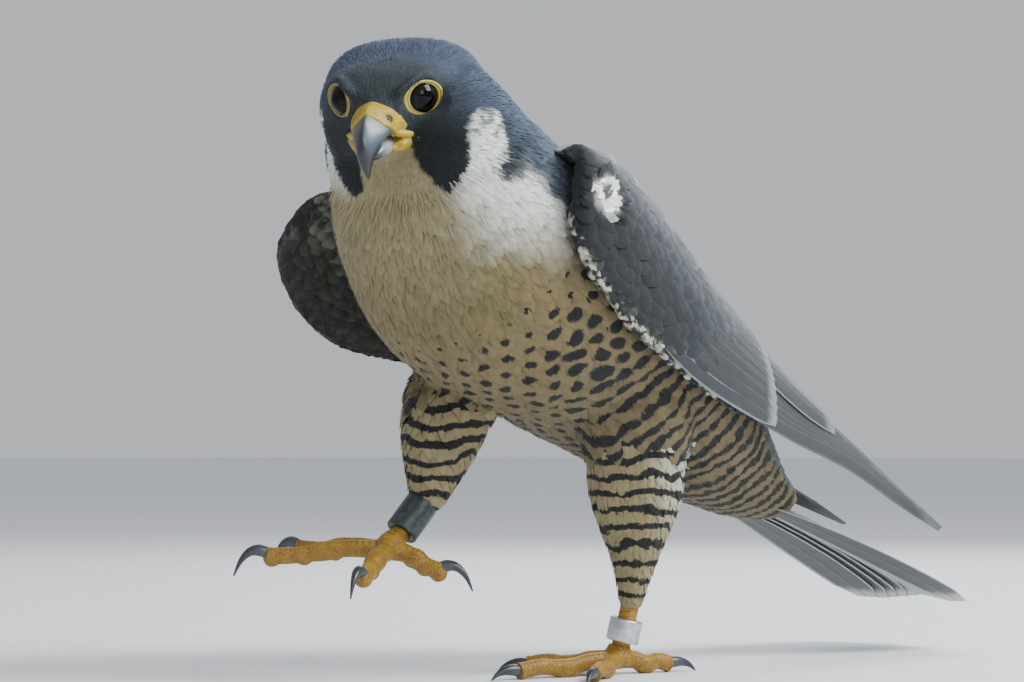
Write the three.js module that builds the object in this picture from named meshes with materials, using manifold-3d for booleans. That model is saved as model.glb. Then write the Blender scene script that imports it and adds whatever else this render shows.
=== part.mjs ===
// Peregrine falcon in mid-step, life size. Millimetres, +Z up. The bird faces -Y, its left side is +X,
// and it stands on its left foot with the right foot raised in front of it.
import * as THREE from 'three';
import Module from 'manifold-3d';

const wasm = await Module();
wasm.setup();

// Gap left between neighbouring pieces.
const GAP = 0.3;
// Smallest thickness of a feather vane away from its tip.
const VANE_THICK = 0.6;
// Height of the floor the standing foot rests on.
const FLOOR_Z = 0;
// Share of the vertical past which a path counts as upright.
const STEEP = 0.9;

const V = (x, y, z) => new THREE.Vector3(x, y, z);
const rad = (degrees) => degrees * Math.PI / 180;
const mix = (a, b, k) => a + (b - a) * k;

// Spine of the trunk and neck: y, z, pitch of the section, half width, and depths to the back and the breast.
const SPINE = [
  [-122, 236, 60, 33, 29.5, 20],
  [-117, 223, 58, 46, 32, 29],
  [-108, 209, 54, 47.5, 39, 38],
  [-95, 193, 49, 54.5, 43, 47],
  [-73, 174, 43, 60, 49, 55],
  [-45, 155, 38, 62, 49, 52],
  [-15, 138, 35, 58, 47, 44],
  [15, 121, 34, 52, 43, 37],
  [43, 104, 31, 42, 34, 30],
  [67, 90, 27, 31, 25, 23],
  [90, 78, 22, 22, 16, 16],
  [108, 71, 18, 15, 9, 9],
];
const TRUNK_SIDES = 20;
const TRUNK_POWER = 0.94;

// Planes that part the head from the neck, the neck from the trunk, and the trunk from the tail.
const HEAD_CUT = { y: -112, z: 212, pitch: 52 };
const NECK_CUT = { y: -97, z: 194, pitch: 50 };
const TAIL_CUT = { y: 84, z: 77, pitch: 24 };

// Head: place of the point midway between the eyes, turn to the left, and nod.
const EYE_MID = V(10, -144, 228);
const HEAD_YAW = rad(29);
const HEAD_NOD = rad(25);
// Sections of the head along its own axis: forward, rise, half width, up, down.
const SKULL = [
  [-53, -12, 19, 14, 14],
  [-46, -9, 28, 20, 24],
  [-35, -11, 33.4, 25, 30],
  [-22, -14, 33.6, 25, 29.7],
  [-12, -11.6, 29.6, 22.5, 26.7],
  [-4, -7.5, 22.5, 18, 23],
  [3, -6, 16.5, 15, 19],
  [9.5, -6, 11, 11.2, 14],
  [13, -6.5, 8, 8.5, 10],
];
const SKULL_SIDES = 20;
const SKULL_POWER = 0.85;
// Eyes: radius, how far out and how high the cornea stands, and the way each looks.
const EYE_R = 8.2;
const EYE_OUT = 18.7;
const EYE_RISE = 0;
const EYE_AHEAD = 0.5;
const EYE_TURN = rad(42);
const EYE_TILT = rad(4);
const EYE_OPENING = 5.9;
const LID_R = 6.9;
const LID_THICK = 1.3;
const LID_LONG = 1.16;
const LID_TALL = 0.95;
const LID_SINK = 0.3;
// Brow ridge over each eye: radius, and its line in the head's frame from the bill backward.
const BROW_R = 2.7;
const BROW_LINE = [[8.5, 12.5, 3.6], [13, 8.5, 6.6], [18.6, 1.5, 8.6], [21.6, -5, 8.4], [23, -12, 6.5]];
// Cere and bill, along the head's axis: forward, rise, half width, up, down, pitch of the section.
const CERE = [
  [6, -5.4, 10.2, 8.8, 7.2, 0],
  [11, -4.9, 9.5, 8.2, 6.4, 6],
  [15, -5.2, 8.5, 7.8, 6.2, 12],
  [19, -6.4, 7.2, 6.9, 6, 22],
];
const CERE_SIDES = 14;
const CERE_POWER = 0.92;
const BILL = [
  [12.5, -4.9, 7.8, 6.7, 5.8, 10],
  [17, -5.9, 6.8, 6.5, 5.8, 18],
  [21, -7.9, 5.6, 6.0, 5.6, 33],
  [24.6, -11.4, 4.1, 4.8, 4.6, 52],
  [26.7, -15.8, 2.7, 3.1, 2.9, 70],
  [27.2, -19.8, 1.5, 1.7, 1.4, 84],
  [26.8, -22.6, 0.5, 0.5, 0.4, 92],
];
const BILL_SIDES = 12;
const LOWER_BILL_SIDES = 10;
const BILL_POWER = 0.9;
const CERE_END = 18;
const LOWER_BILL = [
  [3, -15.6, 6.8, 3.6, 3.4, 0],
  [10, -15.4, 6.6, 3.6, 3.4, 0],
  [16, -15.4, 5.4, 3.2, 3.0, 0],
  [20, -15.6, 3.8, 2.4, 2.2, 0],
  [22.6, -15.9, 1.8, 1.1, 1.0, 0],
];
// Nostrils: place, radius and depth of the well, and the pin that stands in it.
const NOSTRIL_OUT = 7.9;
const NOSTRIL_AHEAD = 14.4;
const NOSTRIL_RISE = -2.2;
const NOSTRIL_R = 1.5;
const NOSTRIL_DEEP = 1.7;
const NOSTRIL_PIN_R = 0.5;
// Yellow skin at the corner of the mouth: radius, and its line from the bill backward.
const GAPE_R = 1.4;
const GAPE_LINE = [[6.8, 13, -10.8], [10, 8.5, -12.4], [12.8, 4.6, -13.8], [14.6, 1.2, -15]];

// Legs. Each thigh is a feathered cone: x, y, z, half width, half depth.
const THIGH_L = [
  [32, -22, 128, 20, 26],
  [27, -15, 108, 23, 27],
  [22, -10, 90, 21, 22],
  [19, -6.5, 76, 20, 20.5],
  [17.3, -4.5, 65, 17, 17.6],
  [15, -2.5, 51, 11.6, 12],
  [12.6, -1, 40, 8.4, 8.6],
  [10.4, 0, 28, 5.6, 5.8],
];
const THIGH_R = [
  [-34, -44, 134, 22, 26],
  [-32, -60, 118, 21, 24],
  [-30, -69, 103, 18, 20],
  [-28.5, -75, 90, 14.8, 15.2],
  [-28.5, -79, 78, 10, 10.4],
  [-29, -81.5, 70, 7.2, 7.6],
];
const THIGH_SIDES = 14;
const TARSUS_R = 3.9;
const TARSUS_SWELL = 1.05;
const TARSUS_SIDES = 10;
const HUB_L = V(6, -3, 7);
const HUB_R = V(-32, -99, 54);
const ANKLE_L = V(10.8, 0.5, 33);
const ANKLE_R = V(-29, -80.5, 75);
// Leg bands: outer radius, and the ends of each as shares of the way from the foot to the ankle.
const BAND_R = 6.9;
const BAND_SPAN_L = [0.62, 0.26];
const BAND_SPAN_R = [0.86, 0.3];

// Toes: azimuth from straight ahead toward +X, length, radius, and how far a raised toe hangs at its end.
const TOES_L = [
  { name: 'inner', azimuth: -50, length: 38, radius: 4.2, sink: 0 },
  { name: 'middle', azimuth: -13, length: 50, radius: 3.9, sink: 0 },
  { name: 'outer', azimuth: 28, length: 41, radius: 3.7, sink: 0 },
  { name: 'hind', azimuth: 162, length: 25, radius: 4.1, sink: 0 },
];
const TOES_R = [
  { name: 'inner', azimuth: 27, length: 32, radius: 4.2, sink: 9 },
  { name: 'middle', azimuth: -34, length: 50, radius: 3.9, sink: 1.5 },
  { name: 'outer', azimuth: -64, length: 40, radius: 3.7, sink: -1 },
  { name: 'hind', azimuth: 128, length: 21, radius: 4.1, sink: 8 },
];
const TOE_SIDES = 8;
const CLAW_SIDES = 6;
// Claws: radii from the root to the tip, and how far the tip of a raised one hangs below its root.
const CLAW_RADII = [2.5, 2.5, 1.9, 1.15, 0.5];
const CLAW_DROP = 8;

// Wings: leading edge from the wrist to the tip, and inner edge from the shoulder to the tip.
const WING_L_EDGE = [
  [58, -91, 190], [64, -90, 171], [65, -68, 147], [62, -28, 125], [57, 8, 111],
  [48, 58, 95], [37, 114, 82], [27, 166, 66], [20, 214, 53],
];
const WING_L_TOP = [
  [40, -84, 207], [31, -44, 208], [23, -4, 190], [18, 34, 162], [15, 72, 136],
  [14, 108, 114], [15, 144, 94], [17, 180, 72], [20, 214, 53],
];
const WING_R_EDGE = [
  [-86, -104, 186], [-98, -102, 175], [-101, -90, 156], [-100, -68, 140], [-95, -42, 134],
  [-82, 10, 126], [-64, 68, 104], [-46, 126, 81], [-28, 210, 54],
];
const WING_R_TOP = [
  [-46, -90, 197], [-37, -44, 202], [-28, -4, 187], [-21, 34, 162], [-18, 72, 138],
  [-18, 108, 116], [-20, 144, 95], [-24, 180, 73], [-28, 210, 54],
];
const WING_BULGE_L = 18;
const WING_BULGE_R = 14;
// End of the fleshy part of the folded wing, as a share of its length.
const ARM_END = 0.46;
const ARM_THICK = 11;

// Tail: root, pitch, length, spread of the outermost feather.
const TAIL_ROOT = V(0, 88, 74);
const TAIL_PITCH = rad(17);
const TAIL_LENGTH = 146;
const TAIL_PAIRS = 6;
const TAIL_SPREAD = rad(7.5);
const TAIL_FEATHER = 12;
// Steps from one pair of tail feathers to the next, sideways and down, and how far the tips sag.
const TAIL_INSET = 1.5;
const TAIL_STEP = 1.7;
const TAIL_DROP = 0.9;
const TAIL_SAG = 7;

// Helpers for closed meshes

function manifoldFrom(points, triangles) {
  const position = new Float32Array(points.length * 3);
  points.forEach((p, i) => position.set([p.x, p.y, p.z], i * 3));
  let volume = 0;
  for (const [a, b, c] of triangles) {
    volume += points[a].dot(points[b].clone().cross(points[c]));
  }
  const index = new Uint32Array(triangles.length * 3);
  triangles.forEach(([a, b, c], i) => index.set(volume > 0 ? [a, b, c] : [a, c, b], i * 3));
  return new wasm.Manifold(new wasm.Mesh({ numProp: 3, vertProperties: position, triVerts: index }));
}

// Closed skin over a run of rings with the same number of points, ended by a fan at each end.
function skin(rings) {
  const count = rings[0].length;
  const points = rings.flat();
  const triangles = [];
  for (let i = 0; i + 1 < rings.length; i += 1) {
    for (let j = 0; j < count; j += 1) {
      const k = (j + 1) % count;
      const a = i * count + j;
      const b = i * count + k;
      const c = a + count;
      const d = b + count;
      triangles.push([a, b, d], [a, d, c]);
    }
  }
  for (const end of [0, rings.length - 1]) {
    const middle = new THREE.Vector3();
    rings[end].forEach((p) => middle.add(p));
    points.push(middle.divideScalar(count));
    const hub = points.length - 1;
    for (let j = 0; j < count; j += 1) {
      const a = end * count + j;
      const b = end * count + (j + 1) % count;
      triangles.push(end === 0 ? [hub, b, a] : [hub, a, b]);
    }
  }
  return manifoldFrom(points, triangles);
}

// Egg-shaped ring: half width to both sides, and its own depth above and below.
function ring(center, side, up, width, above, below, sides, power = 1) {
  const points = [];
  for (let j = 0; j < sides; j += 1) {
    const angle = 2 * Math.PI * (j + 0.5) / sides;
    const c = Math.cos(angle);
    const s = Math.sin(angle);
    const x = Math.sign(c) * Math.abs(c) ** power * width;
    const y = Math.sign(s) * Math.abs(s) ** power * (s > 0 ? above : below);
    points.push(center.clone().addScaledVector(side, x).addScaledVector(up, y));
  }
  return points;
}

// Round tube along a path, each station with its own radius. The sections are carried along without a twist.
function tube(path, radii, sides, grow = 0) {
  let carried = null;
  const rings = path.map((p, i) => {
    const before = path[Math.max(0, i - 1)];
    const after = path[Math.min(path.length - 1, i + 1)];
    const along = after.clone().sub(before).normalize();
    if (!carried) carried = along.clone().cross(Math.abs(along.z) > STEEP ? V(0, 1, 0) : V(0, 0, 1));
    const side = carried.clone().addScaledVector(along, -carried.dot(along)).normalize();
    carried = side;
    const up = side.clone().cross(along).normalize();
    const slide = i === 0 ? -grow : (i === path.length - 1 ? grow : 0);
    const r = radii[i] + grow;
    return ring(p.clone().addScaledVector(along, slide), side, up, r, r, r, sides);
  });
  return skin(rings);
}

// Thin plate from rows of four corners: low left, low right, high right, high left.
// Both faces are split along the same diagonal.
function plate(rows) {
  const points = rows.flat();
  const triangles = [[0, 1, 2], [0, 2, 3]];
  for (let i = 0; i + 1 < rows.length; i += 1) {
    const a = 4 * i;
    const b = a + 4;
    triangles.push([a, b, b + 1], [a, b + 1, a + 1], [a + 3, b + 2, b + 3], [a + 3, a + 2, b + 2]);
    triangles.push([a + 1, b + 1, b + 2], [a + 1, b + 2, a + 2], [a + 3, b + 3, b], [a + 3, b, a]);
  }
  const last = points.length - 4;
  triangles.push([last, last + 3, last + 2], [last, last + 2, last + 1]);
  return manifoldFrom(points, triangles);
}

// Half space on the side the pitched axis points away from the tail.
function slab(cut, toFront, shift) {
  const size = 700;
  const box = wasm.Manifold.cube([size, size, size], true);
  const offset = toFront ? -size / 2 - shift : size / 2 + shift;
  return box.translate([0, offset, 0]).rotate([-cut.pitch, 0, 0]).translate([0, cut.y, cut.z]);
}

// Everything above the floor, or above a plane a little under it.
function aboveFloor(grow = 0) {
  const size = 300;
  return wasm.Manifold.cube([size, size, size], true).translate([0, 0, size / 2 + FLOOR_Z - grow]);
}

function largest(manifold) {
  const pieces = manifold.decompose();
  return pieces.reduce((best, piece) => (piece.volume() > best.volume() ? piece : best));
}

const union = (list) => wasm.Manifold.union(list);

// Trunk, neck and head

function trunk(grow = 0) {
  return skin(SPINE.map(([y, z, pitch, width, above, below]) => {
    const up = V(0, Math.sin(rad(pitch)), Math.cos(rad(pitch)));
    const depths = [above + grow, below + grow];
    return ring(V(0, y, z), V(1, 0, 0), up, width + grow, ...depths, TRUNK_SIDES, TRUNK_POWER);
  }));
}

const headAhead = V(
  Math.sin(HEAD_YAW) * Math.cos(HEAD_NOD), -Math.cos(HEAD_YAW) * Math.cos(HEAD_NOD), -Math.sin(HEAD_NOD));
const headLeft = V(Math.cos(HEAD_YAW), Math.sin(HEAD_YAW), 0);
const headUp = headAhead.clone().cross(headLeft);

// Point in the head's own frame: to its left, ahead, and up from midway between the eyes.
function inHead(left, ahead, up) {
  return EYE_MID.clone().addScaledVector(headLeft, left)
    .addScaledVector(headAhead, ahead).addScaledVector(headUp, up);
}

// Run of sections along the head's axis; a sixth number pitches the section downward.
function headLoft(stations, sides, power, grow = 0) {
  const last = stations.length - 1;
  return skin(stations.map(([ahead, rise, width, above, below, pitch = 0], i) => {
    const along = headAhead.clone().multiplyScalar(Math.cos(rad(pitch)))
      .addScaledVector(headUp, -Math.sin(rad(pitch)));
    const up = headUp.clone().multiplyScalar(Math.cos(rad(pitch)))
      .addScaledVector(headAhead, Math.sin(rad(pitch)));
    const slide = i === 0 ? -grow : (i === last ? grow : 0);
    const center = inHead(0, ahead, rise).addScaledVector(along, slide);
    return ring(center, headLeft, up, width + grow, above + grow, below + grow, sides, power);
  }));
}

// Half space ahead of or behind a plane across the head's axis.
function headHalf(ahead, toFront) {
  const size = 200;
  const basis = new THREE.Matrix4().makeBasis(headLeft, headAhead, headUp);
  const center = inHead(0, ahead + (toFront ? size / 2 : -size / 2), 0);
  basis.setPosition(center);
  return wasm.Manifold.cube([size, size, size], true).transform(basis.elements);
}

function eyeFrame(side) {
  const look = headAhead.clone().multiplyScalar(Math.cos(EYE_TURN) * Math.cos(EYE_TILT))
    .addScaledVector(headLeft, side * Math.sin(EYE_TURN) * Math.cos(EYE_TILT))
    .addScaledVector(headUp, Math.sin(EYE_TILT)).normalize();
  const across = headUp.clone().cross(look).normalize();
  const up = look.clone().cross(across).normalize();
  const apex = inHead(side * EYE_OUT, EYE_AHEAD, EYE_RISE);
  const center = apex.clone().addScaledVector(look, -EYE_R);
  const depth = Math.sqrt(EYE_R ** 2 - EYE_OPENING ** 2);
  return { look, across, up, center, rim: center.clone().addScaledVector(look, depth) };
}

function eyeball(side, grow = 0) {
  const { look, across, up, center } = eyeFrame(side);
  const steps = 9;
  const around = 14;
  const rings = [];
  for (let i = 1; i < steps; i += 1) {
    const angle = Math.PI * i / steps;
    const r = (EYE_R + grow) * Math.sin(angle);
    const p = center.clone().addScaledVector(look, (EYE_R + grow) * Math.cos(angle));
    rings.push(ring(p, across, up, r, r, r, around));
  }
  return skin(rings);
}

function lid(side, grow = 0) {
  const { look, across, up, rim } = eyeFrame(side);
  const around = 15;
  const points = [];
  const triangles = [];
  const section = 5;
  for (let i = 0; i < around; i += 1) {
    const angle = 2 * Math.PI * i / around;
    const out = across.clone().multiplyScalar(Math.cos(angle) * LID_LONG)
      .addScaledVector(up, Math.sin(angle) * LID_TALL);
    for (let j = 0; j < section; j += 1) {
      const turn = 2 * Math.PI * j / section;
      const r = LID_THICK + grow;
      points.push(rim.clone().addScaledVector(out, LID_R + r * Math.cos(turn))
        .addScaledVector(look, r * Math.sin(turn) - LID_SINK));
    }
  }
  for (let i = 0; i < around; i += 1) {
    for (let j = 0; j < section; j += 1) {
      const a = i * section + j;
      const b = i * section + (j + 1) % section;
      const c = ((i + 1) % around) * section + j;
      const d = ((i + 1) % around) * section + (j + 1) % section;
      triangles.push([a, b, d], [a, d, c]);
    }
  }
  return manifoldFrom(points, triangles);
}

// Opening in the feathers in front of the lid.
function eyeWindow(side) {
  const { look, rim } = eyeFrame(side);
  const path = [rim.clone().addScaledVector(look, -LID_SINK), rim.clone().addScaledVector(look, 8)];
  return tube(path, [LID_R + LID_THICK * 0.8, LID_R + LID_THICK + 4], 16);
}

function brow(side) {
  const path = BROW_LINE.map(([left, ahead, up]) => inHead(side * left, ahead, up));
  return tube(path, [1.2, BROW_R * 0.9, BROW_R, BROW_R * 0.9, 1.2], 6);
}

function gape(side, grow = 0) {
  const path = GAPE_LINE.map(([left, ahead, up]) => inHead(side * left, ahead, up));
  return tube(path, [GAPE_R, GAPE_R, GAPE_R * 0.95, GAPE_R * 0.6], 6, grow);
}

function cereSolid(grow = 0) {
  const band = headLoft(CERE, CERE_SIDES, CERE_POWER, grow).intersect(headHalf(CERE_END + grow, false));
  return union([band, gape(1, grow), gape(-1, grow)]);
}

function cereWithNostrils() {
  let solid = cereSolid();
  for (const side of [1, -1]) {
    const out = headLeft.clone().multiplyScalar(side * 0.86).addScaledVector(headAhead, 0.42)
      .addScaledVector(headUp, 0.28).normalize();
    const mouth = inHead(side * NOSTRIL_OUT, NOSTRIL_AHEAD, NOSTRIL_RISE);
    const well = [mouth.clone().addScaledVector(out, -NOSTRIL_DEEP), mouth.clone().addScaledVector(out, 3)];
    const pin = [mouth.clone().addScaledVector(out, -NOSTRIL_DEEP - 1), mouth.clone()];
    solid = solid.subtract(tube(well, [NOSTRIL_R, NOSTRIL_R], 8));
    solid = solid.add(tube(pin, [NOSTRIL_PIN_R, NOSTRIL_PIN_R * 0.8], 5));
  }
  return largest(solid);
}

function billSolid(grow = 0) {
  return headLoft(BILL, BILL_SIDES, BILL_POWER, grow);
}

function lowerBillSolid(grow = 0) {
  return headLoft(LOWER_BILL, LOWER_BILL_SIDES, BILL_POWER, grow);
}

function upperBill(grow = 0) {
  return billSolid(grow).intersect(headHalf(CERE_END + GAP - grow, true));
}

// Legs

function thigh(stations, grow = 0) {
  return skin(stations.map(([x, y, z, width, depth], i) => {
    const slide = i === stations.length - 1 ? -grow : 0;
    const reach = [width + grow, depth + grow, depth + grow];
    return ring(V(x, y, z + slide), V(1, 0, 0), V(0, 1, 0), ...reach, THIGH_SIDES);
  }));
}

function toeDirection(azimuth) {
  return V(Math.sin(rad(azimuth)), -Math.cos(rad(azimuth)), 0);
}

// Path of a toe: flat on the floor, or hanging with its end bent down.
function toePath(hub, toe, raised) {
  const ahead = toeDirection(toe.azimuth);
  const shares = [0, 0.3, 0.52, 0.76, 1];
  const rest = raised ? hub.z - 1 : toe.radius - 0.4;
  const lifts = raised ? [0, 1.6, 1, -0.3, 0].map((lift, i) => lift - toe.sink * shares[i])
    : [hub.z - rest - 1, 2.2, 0, 1.2, -0.3];
  return shares.map((share, i) => (
    hub.clone().setZ(rest + lifts[i]).addScaledVector(ahead, toe.length * share)));
}

function toeSolid(hub, toe, raised, grow = 0) {
  const r = toe.radius;
  const swell = [1.0, 0.92, 1.04, 0.86, 0.98].map((k) => k * r);
  return tube(toePath(hub, toe, raised), swell, TOE_SIDES, grow);
}

function clawSolid(hub, toe, raised, grow = 0) {
  const path = toePath(hub, toe, raised);
  const end = path[path.length - 1];
  const ahead = toeDirection(toe.azimuth);
  const long = toe.name === 'outer' ? 13 : 15;
  const drop = raised ? CLAW_DROP : end.z - FLOOR_Z - 0.25;
  const shares = [-0.12, 0.2, 0.5, 0.78, 1];
  const fall = [-0.6, -1.7, -1.2, 0.25, 1];
  const points = shares.map((share, i) => end.clone().addScaledVector(ahead, long * share * 0.86)
    .add(V(0, 0, -drop * (fall[i] > 0 ? fall[i] : fall[i] * 0.16))));
  const claw = tube(points, CLAW_RADII, CLAW_SIDES, grow);
  return raised ? claw : claw.intersect(aboveFloor(grow));
}

function footSolid(hub, toes, raised) {
  const top = raised ? hub.clone().add(V(0.6, 3.6, 5)) : hub.clone().add(V(0.4, 0.2, 5.5));
  const palm = tube([hub.clone().add(V(0, 0, -3.4)), hub.clone(), top], [5.2, 6.4, 4.4], 10);
  let foot = union([palm, ...toes.map((toe) => toeSolid(hub, toe, raised))]);
  for (const toe of toes) foot = foot.subtract(clawSolid(hub, toe, raised, GAP));
  return largest(raised ? foot : foot.intersect(aboveFloor()));
}

function sleeve(from, to, inner, outer) {
  return tube([from, to], [outer, outer], 16).subtract(
    tube([from.clone().lerp(to, -0.2), from.clone().lerp(to, 1.2)], [inner, inner], 16));
}

// Feathers

// Curved sheet between the leading edge and the inner edge of a wing.
function wingSheet(edge, top, bulge, side) {
  const low = new THREE.CatmullRomCurve3(edge.map((p) => V(...p)));
  const high = new THREE.CatmullRomCurve3(top.map((p) => V(...p)));
  const out = V(side * 0.75, 0, 0.66);
  const at = (s, t) => {
    const a = low.getPointAt(Math.min(1, Math.max(0, s)));
    const b = high.getPointAt(Math.min(1, Math.max(0, s)));
    const arch = bulge * 4 * t * (1 - t) * (1 - s) ** 0.7;
    return a.lerp(b, t).addScaledVector(out, arch);
  };
  const frameAt = (s, t) => {
    const e = 0.02;
    const along = at(Math.min(1, s + e), t).sub(at(Math.max(0, s - e), t)).normalize();
    const across = at(s, Math.min(1, t + e)).sub(at(s, Math.max(0, t - e)));
    if (across.length() < 1e-6) across.set(-side, 0, 1);
    across.normalize();
    const normal = along.clone().cross(across).normalize();
    if (normal.dot(out) < 0) normal.negate();
    normal.addScaledVector(out, 0.5).normalize();
    return { p: at(s, t), along, across, normal };
  };
  return { at, frameAt, out };
}

// One vane over the sheet from its root to its tip, with its lower edge lifted over its neighbour.
function vane(sheet, spec) {
  const { root, tip, width, base, rise, shares, profile } = spec;
  const rings = shares.map((share, i) => {
    const s = mix(root[0], tip[0], share);
    const t = mix(root[1], tip[1], share);
    const { p, along, across, normal } = sheet.frameAt(s, t);
    const flat = across.clone().addScaledVector(along, -across.dot(along)).normalize();
    const h = mix(base, rise, Math.min(1, share * 1.6));
    const half = width * profile[i] / 2;
    const thick = VANE_THICK / 2 * (share === 1 ? 0.8 : 1);
    const lift = spec.lift * profile[i];
    const put = (x, y) => p.clone().addScaledVector(flat, x).addScaledVector(normal, y);
    const low = h + lift;
    return [put(-half, low - thick), put(half, h - thick), put(half, h + thick), put(-half, low + thick)];
  });
  return plate(rings);
}

function armSlab(sheet, thickness) {
  const across = 7;
  const rows = 7;
  const points = [];
  const triangles = [];
  const outer = (s) => mix(2.4, 0.4, Math.min(1, s / ARM_END));
  const depth = (s, t) => (1.6 + thickness * Math.max(0, 1 - s / ARM_END) ** 0.8 * (0.35 + 0.65 * (1 - t)))
    * (s <= 0 ? 0.35 : 1);
  for (const inner of [false, true]) {
    for (let i = 0; i < rows; i += 1) {
      const s = ARM_END * (i / (rows - 1)) ** 1.2;
      for (let j = 0; j < across; j += 1) {
        const t = j / (across - 1);
        const pinch = (j === 0 || j === across - 1) ? 0.45 : 1;
        const h = inner ? -depth(s, t) * pinch : outer(s) * pinch;
        points.push(sheet.at(s, t).addScaledVector(sheet.out, h));
      }
    }
  }
  const id = (inner, i, j) => (inner ? rows * across : 0) + i * across + j;
  for (let i = 0; i + 1 < rows; i += 1) {
    for (let j = 0; j + 1 < across; j += 1) {
      triangles.push([id(0, i, j), id(0, i + 1, j), id(0, i + 1, j + 1)],
        [id(0, i, j), id(0, i + 1, j + 1), id(0, i, j + 1)]);
      triangles.push([id(1, i, j), id(1, i + 1, j + 1), id(1, i + 1, j)],
        [id(1, i, j), id(1, i, j + 1), id(1, i + 1, j + 1)]);
    }
  }
  for (let j = 0; j + 1 < across; j += 1) {
    for (const i of [0, rows - 1]) {
      const quad = [id(0, i, j), id(0, i, j + 1), id(1, i, j + 1), id(1, i, j)];
      if (i > 0) quad.reverse();
      triangles.push([quad[0], quad[1], quad[2]], [quad[0], quad[2], quad[3]]);
    }
  }
  for (let i = 0; i + 1 < rows; i += 1) {
    for (const j of [0, across - 1]) {
      const quad = [id(0, i, j), id(1, i, j), id(1, i + 1, j), id(0, i + 1, j)];
      if (j > 0) quad.reverse();
      triangles.push([quad[0], quad[1], quad[2]], [quad[0], quad[2], quad[3]]);
    }
  }
  return manifoldFrom(points, triangles);
}

// Rows of a folded wing, outermost primary first. Each row lies over the roots of the one behind it.
function wingFeathers(sheet) {
  const list = [];
  const long = { shares: [0, 0.3, 0.6, 0.85, 1], profile: [0.7, 1, 0.95, 0.7, 0.25] };
  const short = { shares: [0, 0.6, 0.9, 1], profile: [0.6, 1, 0.85, 0.35] };
  const primaries = 8;
  for (let i = 0; i < primaries; i += 1) {
    const k = i / (primaries - 1);
    const reach = 1 - 0.3 * k ** 1.15 - (i === 0 ? 0.03 : 0);
    list.push({ root: [0.36, mix(0.06, 0.5, k)], tip: [reach, mix(0.3, 0.4, k)], width: mix(11, 14, k),
      base: -0.6, rise: 0.2, lift: 2, ...long });
  }
  const secondaries = 7;
  for (let i = 0; i < secondaries; i += 1) {
    const k = i / (secondaries - 1);
    list.push({ root: [0.34, mix(0.5, 0.92, k)], tip: [mix(0.66, 0.6, k), mix(0.44, 0.86, k)], width: 16,
      base: -0.2, rise: 2.6, lift: 1.9, ...short });
  }
  const coverts = 7;
  for (const [from, to, base, rise, width] of [[0.22, 0.45, 0.8, 4.6, 17], [0.1, 0.3, 1.2, 6, 17]]) {
    for (let i = 0; i < coverts; i += 1) {
      const t = mix(0.08, 0.9, i / (coverts - 1));
      const tip = [to - 0.04 * t, mix(t, 0.5, 0.05)];
      list.push({ root: [from, t], tip, width, base, rise, lift: 1.3, ...short });
    }
  }
  return list;
}

function wing(edge, top, bulge, side, others) {
  const sheet = wingSheet(edge, top, bulge, side);
  const parts = [armSlab(sheet, ARM_THICK), ...wingFeathers(sheet).map((spec) => vane(sheet, spec))];
  let solid = union(parts);
  for (const other of others) solid = solid.subtract(other);
  return largest(solid);
}

function tailSolid() {
  const back = V(0, Math.cos(TAIL_PITCH), -Math.sin(TAIL_PITCH));
  const up = V(0, Math.sin(TAIL_PITCH), Math.cos(TAIL_PITCH));
  const parts = [];
  for (let i = 0; i < TAIL_PAIRS; i += 1) {
    for (const side of [1, -1]) {
      const spread = TAIL_SPREAD * (i + 0.5) / TAIL_PAIRS * side;
      const along = back.clone().multiplyScalar(Math.cos(spread));
      along.addScaledVector(V(1, 0, 0), Math.sin(spread));
      const across = V(1, 0, 0).multiplyScalar(Math.cos(spread));
      across.addScaledVector(back, -Math.sin(spread));
      const start = TAIL_ROOT.clone().addScaledVector(up, -TAIL_DROP * i);
      start.x += side * (TAIL_INSET + TAIL_STEP * i);
      const length = TAIL_LENGTH - 1.1 * i - (i === TAIL_PAIRS - 1 ? 3 : 0);
      const shares = [0, 0.35, 0.7, 0.92, 1];
      const widths = [4, 9.5, TAIL_FEATHER, TAIL_FEATHER * 0.9, TAIL_FEATHER * 0.4];
      const half = VANE_THICK / 2;
      parts.push(plate(shares.map((share, n) => {
        const p = start.clone().addScaledVector(along, length * share);
        p.addScaledVector(up, -TAIL_SAG * share * share);
        const put = (x, y) => p.clone().addScaledVector(across, x * side).addScaledVector(up, y);
        const w = widths[n];
        return [put(-w, -half), put(w, -half), put(w, half), put(-w, half)];
      })));
    }
  }
  return parts;
}

// Assembly of the nodes

const pieces = {};
const flesh = union([trunk(), headLoft(SKULL, SKULL_SIDES, SKULL_POWER), brow(1), brow(-1)]);
const fleshGrown = trunk(GAP);
const seats = [];
for (const side of [1, -1]) {
  const key = side > 0 ? 'l' : 'r';
  pieces[`eye_${key}`] = eyeball(side);
  pieces[`lid_${key}`] = largest(lid(side).subtract(eyeball(side, GAP)));
  seats.push(eyeball(side, GAP), lid(side, GAP), eyeWindow(side));
}
pieces.cere = cereWithNostrils();
pieces.bill_upper = largest(upperBill().subtract(gape(1, GAP)).subtract(gape(-1, GAP)));
pieces.bill_lower = largest(lowerBillSolid().subtract(billSolid(GAP)).subtract(cereSolid(GAP)));
seats.push(cereSolid(GAP), billSolid(GAP), lowerBillSolid(GAP));

let head = flesh.intersect(slab(HEAD_CUT, true, GAP / 2));
for (const seat of seats) head = head.subtract(seat);
pieces.head = largest(head);
const belowHead = flesh.intersect(slab(HEAD_CUT, false, GAP / 2));
pieces.neck = largest(belowHead.intersect(slab(NECK_CUT, true, GAP / 2)));
const behindNeck = belowHead.intersect(slab(NECK_CUT, false, GAP / 2));
pieces.torso = largest(behindNeck.intersect(slab(TAIL_CUT, true, GAP / 2)));

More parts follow.
